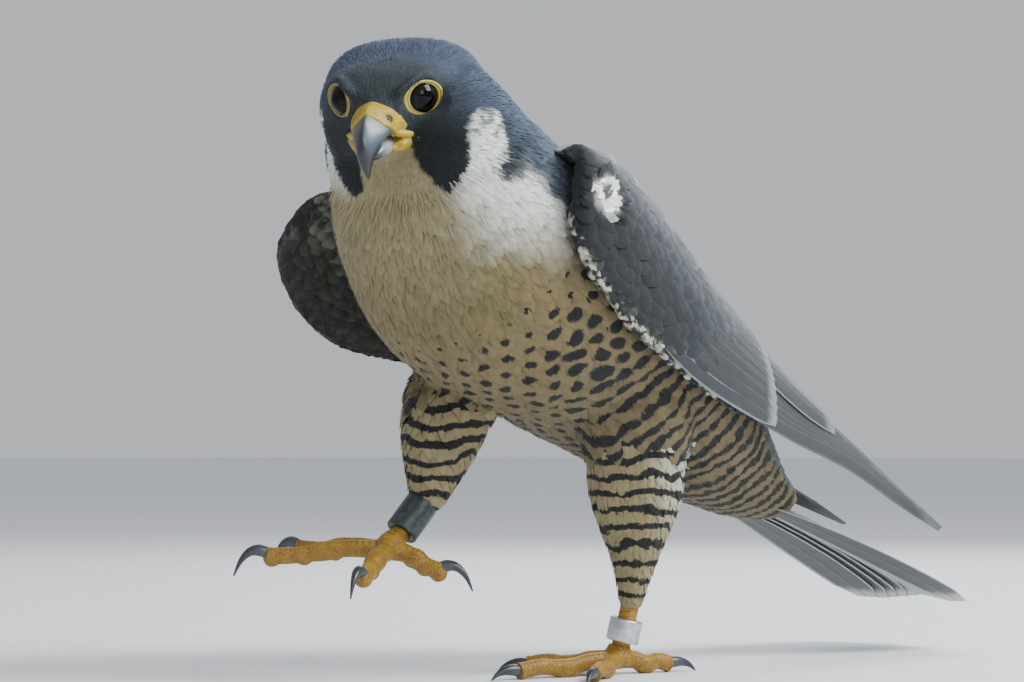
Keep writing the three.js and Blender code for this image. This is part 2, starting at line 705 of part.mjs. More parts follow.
for (const [key, stations, hub, ankle, toes, raised] of [
  ['l', THIGH_L, HUB_L, ANKLE_L, TOES_L, false], ['r', THIGH_R, HUB_R, ANKLE_R, TOES_R, true]]) {
  const crus = thigh(stations).subtract(fleshGrown);
  const foot = footSolid(hub, toes, raised);
  const shank = [ankle, hub.clone().lerp(ankle, 0.16)];
  const wide = TARSUS_R * TARSUS_SWELL;
  const thighSeat = tube(shank, [TARSUS_R + GAP, TARSUS_R + GAP], TARSUS_SIDES, GAP);
  const footSeat = tube(shank, [wide + GAP, wide + GAP], TARSUS_SIDES, GAP);
  pieces[`thigh_${key}`] = largest(crus.subtract(thighSeat));
  pieces[`foot_${key}`] = largest(foot.subtract(footSeat));
  pieces[`tarsus_${key}`] = tube(shank, [TARSUS_R, wide], TARSUS_SIDES);
  for (const toe of toes) pieces[`claw_${toe.name}_${key}`] = clawSolid(hub, toe, raised);
  const [from, to] = raised ? BAND_SPAN_R : BAND_SPAN_L;
  const ends = [hub.clone().lerp(ankle, from), hub.clone().lerp(ankle, to)];
  pieces[`band_${key}`] = sleeve(...ends, wide + GAP, BAND_R).subtract(thigh(stations, GAP));
}

const thighsGrown = [thigh(THIGH_L, GAP), thigh(THIGH_R, GAP)];
pieces.wing_l = wing(WING_L_EDGE, WING_L_TOP, WING_BULGE_L, 1, [fleshGrown, thighsGrown[0]]);
pieces.wing_r = wing(WING_R_EDGE, WING_R_TOP, WING_BULGE_R, -1, [fleshGrown, thighsGrown[1]]);
const rump = trunk().intersect(slab(TAIL_CUT, false, GAP / 2));
const tail = union([rump, ...tailSolid()]).intersect(slab(TAIL_CUT, false, GAP / 2));
pieces.tail = largest(tail);

const COLOURS = {
  head: 0x3d444f, neck: 0xcfc9bd, torso: 0xe3dccd, tail: 0x5d6670, wing: 0x59636f, thigh: 0xd9d3c4,
  tarsus: 0xd9a51c, foot: 0xdba81f, claw: 0x1c1d21, eye: 0x120d0b, lid: 0xe6bf2a, cere: 0xe8bd1e,
  bill: 0x59636c, band_l: 0xb4b7ba, band_r: 0x1e2328,
};

const group = new THREE.Group();
const box = new THREE.Box3();
const built = Object.entries(pieces).map(([name, solid]) => {
  const mesh = solid.getMesh();
  const geometry = new THREE.BufferGeometry();
  geometry.setAttribute('position', new THREE.BufferAttribute(new Float32Array(mesh.vertProperties), 3));
  geometry.setIndex(new THREE.BufferAttribute(new Uint32Array(mesh.triVerts), 1));
  geometry.computeBoundingBox();
  box.union(geometry.boundingBox);
  return [name, geometry];
});
const middle = box.getCenter(new THREE.Vector3());
for (const [name, geometry] of built) {
  geometry.translate(-middle.x, -middle.y, -box.min.z);
  const kind = Object.keys(COLOURS).find((key) => name === key || name.startsWith(`${key}_`));
  const material = new THREE.MeshStandardMaterial({ color: COLOURS[kind], roughness: 0.7, metalness: 0 });
  const mesh = new THREE.Mesh(geometry, material);
  mesh.name = name;
  group.add(mesh);
}

export default group;
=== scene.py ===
# Peregrine falcon in mid-step, life size: skin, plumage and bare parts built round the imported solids.
# Lengths are millimetres in the bird's own frame: origin on the floor beside the standing foot, the bird
# facing -Y, its left side +X. They become metres only when a mesh is made.
import math

import bpy
import numpy as np
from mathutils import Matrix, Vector
from mathutils.bvhtree import BVHTree
from mathutils.kdtree import KDTree


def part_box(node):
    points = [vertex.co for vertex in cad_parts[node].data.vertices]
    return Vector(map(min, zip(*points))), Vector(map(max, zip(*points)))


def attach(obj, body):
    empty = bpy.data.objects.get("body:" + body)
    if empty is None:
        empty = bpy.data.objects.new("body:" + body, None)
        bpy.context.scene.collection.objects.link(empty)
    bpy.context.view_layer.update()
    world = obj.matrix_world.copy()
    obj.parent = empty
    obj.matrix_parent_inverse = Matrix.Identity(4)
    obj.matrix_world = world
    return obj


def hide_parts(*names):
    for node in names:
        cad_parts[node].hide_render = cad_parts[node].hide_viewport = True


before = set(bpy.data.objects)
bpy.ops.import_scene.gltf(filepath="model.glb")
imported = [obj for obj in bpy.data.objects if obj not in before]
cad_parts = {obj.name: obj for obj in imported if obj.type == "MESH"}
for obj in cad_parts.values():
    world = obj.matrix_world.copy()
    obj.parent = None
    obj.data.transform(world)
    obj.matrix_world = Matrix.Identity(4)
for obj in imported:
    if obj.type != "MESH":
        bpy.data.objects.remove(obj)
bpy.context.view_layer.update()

MM_PER_METRE = 1000
TARSUS_MIDDLE = np.array((8.78, -1.01, 22.08))
tarsus_low, tarsus_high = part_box("tarsus_l")
ORIGIN = (np.array(tarsus_low) + np.array(tarsus_high)) / 2 * MM_PER_METRE - TARSUS_MIDDLE


def to_scene(points):
    return (np.asarray(points, float) + ORIGIN) / MM_PER_METRE


def to_design(points):
    return np.asarray(points, float) * MM_PER_METRE - ORIGIN


def unit(v):
    v = np.asarray(v, float)
    return v / np.maximum(np.linalg.norm(v, axis=-1, keepdims=True), 1e-9)


def mix(a, b, k):
    return a + (b - a) * k


def smooth(low, high, x):
    t = np.clip((x - low) / (high - low), 0, 1)
    return t * t * (3 - 2 * t)


def dot(a, b):
    return (a * b).sum(-1)


def draws(seed):
    return np.random.default_rng(seed)


# Large odd numbers that stir the corners of the lattice of noise() into even draws.
CORNER_STIR = (73856093, 19349663, 83492791)
FIRST_STIR, FIRST_SHIFT, LAST_STIR = 2654435761, 974711, 1274126177
SEED_STEP = 13.7


# Smooth noise from -1 to 1 over a lattice of that size.
def noise(points, size, seed=0):
    q = np.asarray(points, float) / size + seed * SEED_STEP
    cell = np.floor(q).astype(np.int64)
    f = q - cell
    f = f * f * (3 - 2 * f)
    total = np.zeros(q.shape[:-1])
    for corner in np.ndindex(2, 2, 2):
        c = cell + corner
        h = (c[..., 0] * CORNER_STIR[0]) ^ (c[..., 1] * CORNER_STIR[1]) ^ (c[..., 2] * CORNER_STIR[2])
        h = (h * FIRST_STIR + FIRST_SHIFT) & 0xFFFFFFFF
        h = ((h >> 13) ^ h) * LAST_STIR & 0xFFFFFFFF
        w = np.prod(np.where(np.array(corner, bool), f, 1 - f), axis=-1)
        total += w * (h / 0xFFFFFFFF)
    return 2 * total - 1


# Rows of numbers resampled along a Catmull-Rom curve.
def resample(rows, count):
    rows = np.asarray(rows, float)
    t = np.linspace(0, len(rows) - 1, count)
    i = np.clip(t.astype(int), 0, len(rows) - 2)
    f = (t - i)[:, None]
    p0, p1 = rows[np.maximum(i - 1, 0)], rows[i]
    p2, p3 = rows[i + 1], rows[np.minimum(i + 2, len(rows) - 1)]
    return 0.5 * (2 * p1 + (p2 - p0) * f + (2 * p0 - 5 * p1 + 4 * p2 - p3) * f**2
                  + (3 * p1 - p0 - 3 * p2 + p3) * f**3)


def eased(values, count):
    return resample(np.reshape(values, (-1, 1)), count)[:, 0]


# Meshes

# Faces of a grid of points, which may close on itself either way.
def grid_faces(rows, columns, closed_rows=False, closed_columns=False):
    last_row, last_column = rows - (not closed_rows), columns - (not closed_columns)
    i, j = np.meshgrid(np.arange(last_row), np.arange(last_column), indexing="ij")
    i1, j1 = (i + 1) % rows, (j + 1) % columns
    corners = [i * columns + j, i * columns + j1, i1 * columns + j1, i1 * columns + j]
    return np.stack(corners, -1).reshape(-1, 4)


# The same faces for each of many like shapes that follow one another in a list of points.
def repeated(faces, shapes, points_each):
    return (faces[None] + (np.arange(shapes) * points_each)[:, None, None]).reshape(-1, 4)


def raw_mesh(name, points, faces):
    groups = [g for g in (faces if isinstance(faces, list) else [faces]) if len(g)]
    loops = np.concatenate([g.ravel() for g in groups]).astype(np.int32)
    sizes = np.concatenate([np.full(len(g), g.shape[1]) for g in groups])
    mesh = bpy.data.meshes.new(name)
    mesh.vertices.add(len(points))
    mesh.vertices.foreach_set("co", to_scene(points).astype(np.float32).ravel())
    mesh.loops.add(len(loops))
    mesh.loops.foreach_set("vertex_index", loops)
    mesh.polygons.add(len(sizes))
    mesh.polygons.foreach_set("loop_start", np.concatenate([[0], np.cumsum(sizes)[:-1]]).astype(np.int32))
    mesh.update(calc_edges=True)
    return mesh


def paint(mesh, name, values, kind="FLOAT_VECTOR"):
    values = np.asarray(values, np.float32)
    layer = mesh.attributes.new(name, kind, "POINT")
    if kind == "FLOAT_COLOR":
        values = np.concatenate([values, np.ones((len(values), 1), np.float32)], 1)
        layer.data.foreach_set("color", values.ravel())
    elif kind == "FLOAT":
        layer.data.foreach_set("value", values.ravel())
    else:
        layer.data.foreach_set("vector", values.ravel())


def mesh_points(mesh):
    co = np.zeros(len(mesh.vertices) * 3, np.float32)
    mesh.vertices.foreach_get("co", co)
    return to_design(co.reshape(-1, 3))


def mesh_normals(mesh):
    normals = np.zeros(len(mesh.vertices) * 3, np.float32)
    mesh.vertices.foreach_get("normal", normals)
    return normals.reshape(-1, 3).astype(float)


def move_points(mesh, points):
    mesh.vertices.foreach_set("co", to_scene(points).astype(np.float32).ravel())
    mesh.update()


def piece(name, mesh, material, replaced=(), rounded=True):
    mesh.name = name
    mesh.polygons.foreach_set("use_smooth", np.full(len(mesh.polygons), rounded))
    mesh.materials.clear()
    mesh.materials.append(material)
    obj = bpy.data.objects.new(name, mesh)
    bpy.context.scene.collection.objects.link(obj)
    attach(obj, "root")
    if replaced:
        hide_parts(*replaced)
    return obj


# Egg-shaped rings round many centres at once.
def rings(centers, sides, ups, widths, above, below, count, power=1.0, lower_power=None):
    angle = 2 * np.pi * (np.arange(count) + 0.5) / count
    c, s = np.cos(angle), np.sin(angle)
    lower_power = power if lower_power is None else lower_power
    bend = np.where(s > 0, np.reshape(power, (-1, 1)), np.reshape(lower_power, (-1, 1)))
    x = np.sign(c) * np.abs(c) ** bend
    y = np.sign(s) * np.abs(s) ** bend
    reach = np.where(s > 0, above[:, None], below[:, None])
    return (centers[:, None] + sides[:, None] * (x * widths[:, None])[..., None]
            + ups[:, None] * (y * reach)[..., None])


# Closed skin over a run of rings; its faces look outward.
def closed(run):
    count, sides = run.shape[:2]
    quads = grid_faces(count, sides, closed_columns=True)
    points = np.concatenate([run.reshape(-1, 3), [run[0].mean(0)], [run[-1].mean(0)]])
    j = np.arange(sides)
    k = (j + 1) % sides
    first = count * sides
    start, rim = np.full(sides, first), (count - 1) * sides
    caps = np.concatenate([np.stack([start, k, j], 1), np.stack([start + 1, rim + j, rim + k], 1)])
    volume = dot(points[caps[:, 0]], np.cross(points[caps[:, 1]], points[caps[:, 2]])).sum()
    for tri in (quads[:, [0, 1, 2]], quads[:, [0, 2, 3]]):
        volume += dot(points[tri[:, 0]], np.cross(points[tri[:, 1]], points[tri[:, 2]])).sum()
    if volume < 0:
        quads, caps = quads[:, ::-1], caps[:, ::-1]
    return points, [quads, caps]


def joined(solids):
    points, quads, tris, base = [], [], [], 0
    for p, (q, t) in solids:
        points.append(p)
        quads.append(q + base)
        tris.append(t + base)
        base += len(p)
    return np.concatenate(points), [np.concatenate(quads), np.concatenate(tris)]


# Frames carried along a path without a twist.
def carried(path):
    along = unit(np.gradient(path, axis=0))
    hint = np.array((0, 1, 0)) if abs(along[0][2]) > 0.9 else np.array((0, 0, 1))
    side = np.cross(along[0], hint)
    sides = []
    for a in along:
        side = unit(side - a * dot(side, a))
        sides.append(side)
    sides = np.array(sides)
    return along, sides, np.cross(sides, along)


def tube(path, radii, count):
    path, radii = np.asarray(path, float), np.asarray(radii, float)
    _, sides, ups = carried(path)
    return closed(rings(path, sides, ups, radii, radii, radii, count))


# A tube along a curve through a few points, with a radius at each of them.
def limb(points, radii, rows, sides):
    return tube(resample(points, rows), eased(radii, rows), sides)


# One even skin over solids that run into one another.
def fused(solids, voxel, rounds):
    points, faces = joined(solids)
    obj = bpy.data.objects.new("fused", raw_mesh("fused", points, faces))
    bpy.context.scene.collection.objects.link(obj)
    remesh = obj.modifiers.new("remesh", "REMESH")
    remesh.mode = "VOXEL"
    remesh.voxel_size = voxel / MM_PER_METRE
    relax = obj.modifiers.new("relax", "SMOOTH")
    relax.factor = 0.5
    relax.iterations = rounds
    bpy.context.view_layer.update()
    graph = bpy.context.evaluated_depsgraph_get()
    mesh = bpy.data.meshes.new_from_object(obj.evaluated_get(graph))
    bpy.data.objects.remove(obj)
    return mesh


# Camera and studio lights

FOCAL, SENSOR = 95.4, 36
VIEWPOINT = np.array((765.6, -855.4, 93.2))
AIM = np.array((-38.2, -21.2, 140.3))


def look(obj, place, target):
    obj.location = Vector(to_scene(place))
    way = Vector(to_scene(target)) - obj.location
    obj.rotation_euler = way.to_track_quat("-Z", "Y").to_euler()


camera_data = bpy.data.cameras.new("camera")
camera_data.lens = FOCAL
camera_data.sensor_width = SENSOR
camera_data.dof.use_dof = False
camera = bpy.data.objects.new("camera", camera_data)
bpy.context.scene.collection.objects.link(camera)
look(camera, VIEWPOINT, AIM)
bpy.context.scene.camera = camera


LIT_PLACE = np.array((0, -50, 130))
LIGHTS = {
    "key": ((1150, 420, 1250), (0.8, 0.8), 42, (0.94, 0.98, 1.0)),
    "window": ((1250, -700, 620), (0.35, 0.5), 5, (0.90, 0.96, 1.0)),
    "rim": ((-500, 1100, 900), (1.0, 0.8), 12, (0.92, 0.96, 1.0)),
}


def softbox(name, place, size, power, colour):
    data = bpy.data.lights.new(name, "AREA")
    data.shape = "RECTANGLE"
    data.size, data.size_y = size
    data.energy = power
    data.color = colour
    obj = bpy.data.objects.new(name, data)
    bpy.context.scene.collection.objects.link(obj)
    look(obj, place, LIT_PLACE)


for light_name, light in LIGHTS.items():
    softbox(light_name, *light)

# Sizes of the form, as in the solids: places along the trunk, the skull and the thighs

# Each row: y, z, pitch in degrees, half width, height above the axis and depth below it.
SPINE = [
    (-122, 236, 60, 33, 29.5, 20), (-117, 223, 58, 46, 32, 29), (-108, 209, 54, 47.5, 39, 38),
    (-95, 193, 49, 54.5, 43, 47), (-73, 174, 43, 60, 49, 55), (-45, 155, 38, 62, 49, 52),
    (-15, 138, 35, 58, 47, 44), (15, 121, 34, 52, 43, 37), (43, 104, 31, 42, 34, 30),
    (67, 90, 27, 31, 25, 23), (90, 78, 22, 22, 16, 16), (108, 71, 18, 15, 9, 9),
]
# Each row: distance ahead of the eyes, rise, half width, height above the axis and depth below it.
SKULL = [
    (-53, -12, 19, 14, 14), (-46, -9, 28, 20, 24), (-35, -11, 33.4, 25, 30), (-22, -14, 33.6, 25, 29.7),
    (-12, -11.6, 29.6, 22.5, 26.7), (-4, -7.5, 22.5, 18, 23), (3, -6.5, 15.2, 14.6, 18.5),
    (8, -7, 10.0, 12.2, 13), (12.5, -7, 5.6, 9.2, 9.5),
]
# Each row: x, y, z, half width and half depth.
THIGHS = {
    "l": [(32, -22, 128, 20, 26), (27, -15, 108, 23, 27), (22, -10, 90, 21, 22),
          (19, -6.5, 76, 20, 20.5), (17.3, -4.5, 65, 17, 17.6), (15, -2.5, 51, 11.6, 12),
          (12.6, -1, 40, 8.4, 8.6), (10.4, 0, 28, 5.6, 5.8)],
    "r": [(-34, -44, 134, 22, 26), (-32, -60, 118, 21, 24), (-30, -69, 103, 18, 20),
          (-28.5, -75, 90, 14.8, 15.2), (-28.5, -79, 78, 10, 10.4), (-29, -81.5, 70, 7.2, 7.6)],
}
TRUNK_COAT, HEAD_COAT, THIGH_COAT = 2.6, 1.1, 1.8
TRUNK_POWER, HEAD_POWER = 0.94, 0.85
SKULL_POWERS = (0.87, 0.85, 0.70, 0.78, 0.71, 0.72, 0.80, 0.85, 0.85)
# Left, ahead and up in the head: the bony ledge over each eye.
BROW = [(8.5, 7, 4.6), (12.2, 4, 6.6), (15.6, -0.5, 8.2), (17.8, -6, 8.2), (18.5, -13, 5.5)]
BROW_RADII = (1.4, 1.8, 1.8, 1.4, 0.8)
SKIN_VOXEL, SKIN_ROUNDS = 1.5, 9

EYE_MID = np.array((10, -144, 228.0))
YAW, NOD = math.radians(29), math.radians(25)
AHEAD = np.array((math.sin(YAW) * math.cos(NOD), -math.cos(YAW) * math.cos(NOD), -math.sin(NOD)))
LEFT = np.array((math.cos(YAW), math.sin(YAW), 0))
UP = np.cross(AHEAD, LEFT)
EYE_R, EYE_OUT, EYE_AHEAD, EYE_OPENING = 8.2, 18.7, 0.5, 5.9
EYE_TURN, EYE_TILT = math.radians(42), math.radians(4)
LID_R, LID_LONG, LID_TALL = 6.35, 1.16, 0.95


def in_head(left, ahead, up):
    return EYE_MID + LEFT * left + AHEAD * ahead + UP * up


def head_limb(path, radii, side, rows, sides):
    return limb([in_head(side * left, ahead, up) for left, ahead, up in path], radii, rows, sides)


BILL_ROOT = in_head(0, 7, -6)


def to_head(points):
    r = points - EYE_MID
    return np.stack([r @ LEFT, r @ AHEAD, r @ UP], -1)


def eye_frame(side):
    gaze = unit(AHEAD * math.cos(EYE_TURN) * math.cos(EYE_TILT)
                + LEFT * side * math.sin(EYE_TURN) * math.cos(EYE_TILT) + UP * math.sin(EYE_TILT))
    across = unit(np.cross(UP, gaze))
    rise = unit(np.cross(gaze, across))
    center = in_head(side * EYE_OUT, EYE_AHEAD, 0) - gaze * EYE_R
    rim = center + gaze * math.sqrt(EYE_R**2 - EYE_OPENING**2)
    return gaze, across, rise, center, rim


# Skin

def trunk_run(count=110, sides=84, grow=0.0):
    y, z, pitch, width, above, below = resample(SPINE, count).T
    pitch = np.radians(pitch)
    up = np.stack([0 * y, np.sin(pitch), np.cos(pitch)], 1)
    side = np.tile((1.0, 0, 0), (count, 1))
    centers = np.stack([0 * y, y, z], 1)
    return rings(centers, side, up, width + grow, above + grow, below + grow, sides, TRUNK_POWER)


def head_run(stations, count, sides, power, grow=0.0, lower_power=None):
    rows = resample([tuple(s) + (0,) * (6 - len(s)) for s in stations], count)
    ahead, rise, width, above, below, pitch = rows.T
    pitch = np.radians(pitch)[:, None]
    up = UP * np.cos(pitch) + AHEAD * np.sin(pitch)
    centers = EYE_MID + AHEAD * ahead[:, None] + UP * rise[:, None]
    side = np.tile(LEFT, (count, 1))
    return rings(centers, side, up, width + grow, above + grow, below + grow, sides, power, lower_power)


def skull_solid(rows=70):
    return closed(head_run(SKULL, rows, 72, eased(SKULL_POWERS, rows), -HEAD_COAT, HEAD_POWER))


def thigh_run(key, grow, rows=46):
    x, y, z, width, depth = resample(THIGHS[key], rows).T
    side, up = np.tile((1.0, 0, 0), (rows, 1)), np.tile((0, 1.0, 0), (rows, 1))
    return rings(np.stack([x, y, z], 1), side, up, width + grow, depth + grow, depth + grow, 48)


def skin_solids():
    brows = [head_limb(BROW, BROW_RADII, side, 24, 14) for side in (1, -1)]
    thighs = [closed(thigh_run(key, -THIGH_COAT)) for key in ("l", "r")]
    return [closed(trunk_run(grow=-TRUNK_COAT)), skull_solid(), *brows, *thighs]


skin_mesh = fused(skin_solids(), SKIN_VOXEL, SKIN_ROUNDS)


SOCKET_DEPTH, SOCKET_EDGE = 1.6, 1.2


# Hollows the skin behind each eye, so that the ball shows and the lids close the edge.
def sink_sockets(points):
    for side in (1, -1):
        gaze, across, rise, center, _ = eye_frame(side)
        r = points - center
        x, y, z = r @ across, r @ rise, r @ gaze
        spread = np.hypot(x / LID_LONG, y / LID_TALL)
        near = (spread < LID_R + SOCKET_EDGE) & (z > -2)
        bed = np.sqrt(np.maximum((EYE_R - SOCKET_DEPTH)**2 - x**2 - y**2, 0))
        k = smooth(LID_R + SOCKET_EDGE, LID_R - SOCKET_EDGE, spread) * near
        target = np.minimum(z, bed)
        points = points + gaze * ((target - z) * k)[:, None]
    return points


move_points(skin_mesh, sink_sockets(mesh_points(skin_mesh)))


THROWS_PER_ROOT = 3


# A surface that feathers grow from.
class Ground:
    def __init__(self, mesh):
        self.mesh = mesh
        self.points, self.normals = mesh_points(mesh), mesh_normals(mesh)
        mesh.calc_loop_triangles()
        tri = np.zeros(len(mesh.loop_triangles) * 3, np.int32)
        mesh.loop_triangles.foreach_get("vertices", tri)
        self.tri = tri.reshape(-1, 3)
        self.tree = BVHTree.FromPolygons([tuple(p) for p in self.points.tolist()], self.tri.tolist())

    # Roots where spacing() is above zero, none closer to its neighbours than that allows.
    def scatter(self, spacing, seed, closeness=0.78):
        corners = self.points[self.tri]
        gap = spacing(corners.mean(1))
        edges = corners[:, 1] - corners[:, 0], corners[:, 2] - corners[:, 0]
        area = np.linalg.norm(np.cross(*edges), axis=1) / 2
        weight = np.where(gap > 0, area / np.maximum(gap, 1e-3)**2, 0)
        rng = draws(seed)
        count = int(weight.sum() * THROWS_PER_ROOT)
        pick = rng.choice(len(weight), count, p=weight / weight.sum())
        a, b = rng.random((2, count))
        flip = a + b > 1
        a, b = np.where(flip, 1 - a, a), np.where(flip, 1 - b, b)
        c = corners[pick]
        points = c[:, 0] + (c[:, 1] - c[:, 0]) * a[:, None] + (c[:, 2] - c[:, 0]) * b[:, None]
        reach = gap[pick] * closeness
        tree = KDTree(count)
        for i, p in enumerate(points.tolist()):
            tree.insert(p, i)
        tree.balance()
        alive = np.ones(count, bool)
        kept = []
        for i in range(count):
            if not alive[i]:
                continue
            kept.append(i)
            for _, j, _ in tree.find_range(points[i], reach[i]):
                alive[j] = False
        return points[kept], unit(self.normals[self.tri[pick[kept], 0]])

    # Places on the surface nearest to given points, with its direction there.
    def settle(self, points):
        places, normals = [], []
        for p in points.tolist():
            place, normal, _, _ = self.tree.find_nearest(p)
            places.append(place)
            normals.append(normal)
        return np.array(places), np.array(normals, float)


body = Ground(skin_mesh)

# Plumage: where each colour and marking lies

# Border of the dark hood on the left (1) and the right side (-1): degrees round the head from straight
# ahead, and height above the eyes.
HOODS = {
    1: [(-20, 80), (-20, -12), (0, -12), (15, -13), (29, -13.6), (23, -14.6), (23, -19.5), (27, -26.7),
        (31, -30.8), (37, -34.6), (43, -30.5), (48, -27), (51, -20.8), (52, -14.1), (53, -10.6), (57, -8),
        (62, -6.6), (66, -5.6), (69, -6.6), (70, -10.1), (70.5, -17.3), (68, -23.8), (62, -27.8),
        (60, -30.1), (61, -32.4), (66, -33.5), (71, -32.5), (76, -33.5), (79, -38), (82, -46), (90, -60),
        (100, -110), (200, -110), (200, 80)],
    -1: [(-20, 80), (-20, -12), (0, -12), (15, -13), (29, -14.2), (30, -19.5), (31, -26), (27, -31.7),
         (24, -37.1), (35, -39.8), (47, -38), (60, -34.7), (71, -30.4), (77, -25), (76, -20), (72, -15),
         (70, -10), (73, -7), (78, -7), (82, -12), (85, -20), (88, -30), (92, -40), (96, -52), (104, -110),
         (200, -110), (200, 80)],
}
# Millimetres that one degree takes up at the cheek, and how far behind the eyes the head turns about.
DEGREE, HEAD_AXIS = 0.62, 22


# Degrees round the head from straight ahead, positive to the left.
def head_degrees(h):
    return np.degrees(np.arctan2(h[:, 0], h[:, 1] + HEAD_AXIS))


def border_distance(points, polygon):
    a = np.array(polygon, float)
    b = np.roll(a, -1, axis=0)
    best = np.full(len(points), 1e9)
    inside = np.zeros(len(points), bool)
    for p, q in zip(a, b):
        d = q - p
        t = np.clip(((points - p) @ d) / (d @ d), 0, 1)
        best = np.minimum(best, np.linalg.norm(points - p - t[:, None] * d, axis=1))
        crosses = (p[1] > points[:, 1]) != (q[1] > points[:, 1])
        x = p[0] + (points[:, 1] - p[1]) / (d[1] if d[1] else 1e-9) * d[0]
        inside ^= crosses & (points[:, 0] < x)
    return np.where(inside, best, -best)


# Place along the rows of SPINE, across the trunk from -1 to 1, and above or below its axis from -1 to 1.
def spine_place(points):
    y, z, pitch, width, above, below = np.array(SPINE, float).T
    pitch = np.radians(pitch)
    along = np.stack([np.cos(pitch), -np.sin(pitch)], 1)
    ahead = (points[:, None, 1] - y) * along[:, 0] + (points[:, None, 2] - z) * along[:, 1]
    i = np.clip((ahead > 0).sum(1) - 1, 0, len(y) - 2)
    rows = np.arange(len(points))
    d0, d1 = ahead[rows, i], ahead[rows, i + 1]
    f = np.clip(d0 / np.where(np.abs(d0 - d1) < 1e-6, 1, d0 - d1), 0, 1)

    def pick(v):
        return mix(v[i], v[i + 1], f)
    p = pick(pitch)
    rise = (points[:, 1] - pick(y)) * np.sin(p) + (points[:, 2] - pick(z)) * np.cos(p)
    rise = np.where(rise > 0, rise / pick(above), rise / pick(below))
    return i + f, points[:, 0] / pick(width), rise


THIGH_TOP = {"l": 106, "r": 124}


# How far points belong to the plumage of the thighs, from 0 to 1.
def thigh_share(points):
    best = np.zeros(len(points))
    for key in ("l", "r"):
        rows = np.array(THIGHS[key], float)[::-1].T
        z = rows[2]
        x, y, width, depth = (np.interp(points[:, 2], z, rows[k]) for k in (0, 1, 3, 4))
        r = np.hypot((points[:, 0] - x) / width, (points[:, 1] - y) / depth)
        top = THIGH_TOP[key] + 4 * noise(points, 12, 14)
        best = np.maximum(best, smooth(1.22, 1.02, r) * smooth(top, top - 10, points[:, 2]))
    return best


# CREAM and BUFF, the throat's and belly's colours, are kept darker than the feathers are, as painted shade;
# the umber colour is painted shade on the belly.
WHITE, CREAM = np.array((0.76, 0.76, 0.71)), np.array((0.31, 0.26, 0.135))
BUFF, PAINTED_BELLY_SHADE = np.array((0.175, 0.13, 0.055)), np.array((0.10, 0.076, 0.036))
CROWN, NAPE = np.array((0.028, 0.042, 0.062)), np.array((0.052, 0.076, 0.122))
MALAR, LORE = np.array((0.003, 0.005, 0.006)), np.array((0.016, 0.022, 0.023))
MANTLE, INK = np.array((0.060, 0.074, 0.094)), np.array((0.004, 0.004, 0.004))
# Distance from one row of marks to the next, columns of marks round the trunk and the thigh, and the
# slope of the underparts from breast to tail.
BREAST_ROW, THIGH_ROW, BREAST_COLUMNS, THIGH_COLUMNS = 7.8, 7.2, 5.4, 2.0
BODY_SLOPE = math.radians(38)
TAILWARD = np.array((0, math.cos(BODY_SLOPE), -math.sin(BODY_SLOPE)))
# Distances along TAILWARD where the spots begin, where they are full size, and where the bars begin.
SPOTS_BEGIN, SPOTS_FULL, BARS_BEGIN, BARS_FULL = -172, -140, -130, -104
# Half the width and half the height of a mark, as shares of its column and row.
SMALL_SPOT, LARGE_SPOT, BREAST_BAR, THIGH_BAR = (0.16, 0.17), (0.40, 0.43), (0.60, 0.26), (0.72, 0.22)


LEAST_MARK = 0.002


def from_bill(points):
    return np.linalg.norm(points - BILL_ROOT, axis=1)


# A colour a, moved towards b by the share k at each point.
def tint(a, b, k):
    return a + (b - a) * np.asarray(k)[:, None]


def hood_share(h, degrees, wobble):
    flat = np.stack([degrees * DEGREE, h[:, 2]], 1)
    left, right = (border_distance(flat, [(a * DEGREE, b) for a, b in HOODS[side]]) for side in (1, -1))
    return smooth(-0.8, 0.8, np.where(h[:, 0] > 0, left, right) + wobble)


# White on the cheeks; cream on the throat, kept dark as painted shade, with white painted light where the
# light falls on the breast; buff towards the tail, also dark as painted shade, and umber painted shade on
# the belly; white painted light on the outer thighs.
def pale_ground(points, h, degrees, along, leg, wobble):
    # Painted light: white where the key light falls on the upper breast, on the bird's left side.
    painted_breast_light = smooth(26, 50, points[:, 0] + 4 * wobble) * smooth(160, 190, points[:, 2] + 4 * wobble)
    # Painted light: white on the outer, lit side of the thighs.
    painted_thigh_light = smooth(24, 44, points[:, 0] + 0.5 * points[:, 1])
    pale = tint(CREAM, WHITE, smooth(-46, -30, h[:, 2]) * smooth(30, 52, degrees))
    # Buff towards the tail, darkened as painted shade, then the umber painted shade on the belly.
    pale = tint(pale, BUFF, 0.9 * smooth(-220, -172, along))
    pale = tint(pale, PAINTED_BELLY_SHADE, 0.5 * smooth(-170, -90, along) * (1 - leg))
    pale = tint(pale, WHITE, 0.85 * painted_breast_light)
    pale = tint(pale, CREAM, leg * 0.55)
    pale = tint(pale, WHITE, leg * 0.45 * painted_thigh_light)
    return pale * (1 + 0.08 * noise(points, 11, 3) + 0.06 * noise(points, 3.5, 4))[:, None]


# Blue-grey crown and nape, dull lores, black below the eyes, and the grey of the back.
def deep_ground(points, h, degrees, station, wobble):
    crown = tint(CROWN, NAPE, smooth(50, 85, degrees) * 0.9)
    crown = crown * (1 + 0.22 * noise(points, 1.5, 5) + 0.16 * noise(points, 4, 6))[:, None]
    lore = smooth(46, 10, from_bill(points) + 3 * wobble) * smooth(30, 2, h[:, 2])
    crown = tint(crown, LORE, 0.85 * lore)
    jowl = smooth(-3, -15, h[:, 2]) * smooth(88, 60, degrees)
    crown = tint(crown, MALAR, jowl)
    mantle = MANTLE * (1 + 0.15 * noise(points, 6, 7))[:, None]
    return tint(crown, mantle, smooth(1.8, 3.2, station))


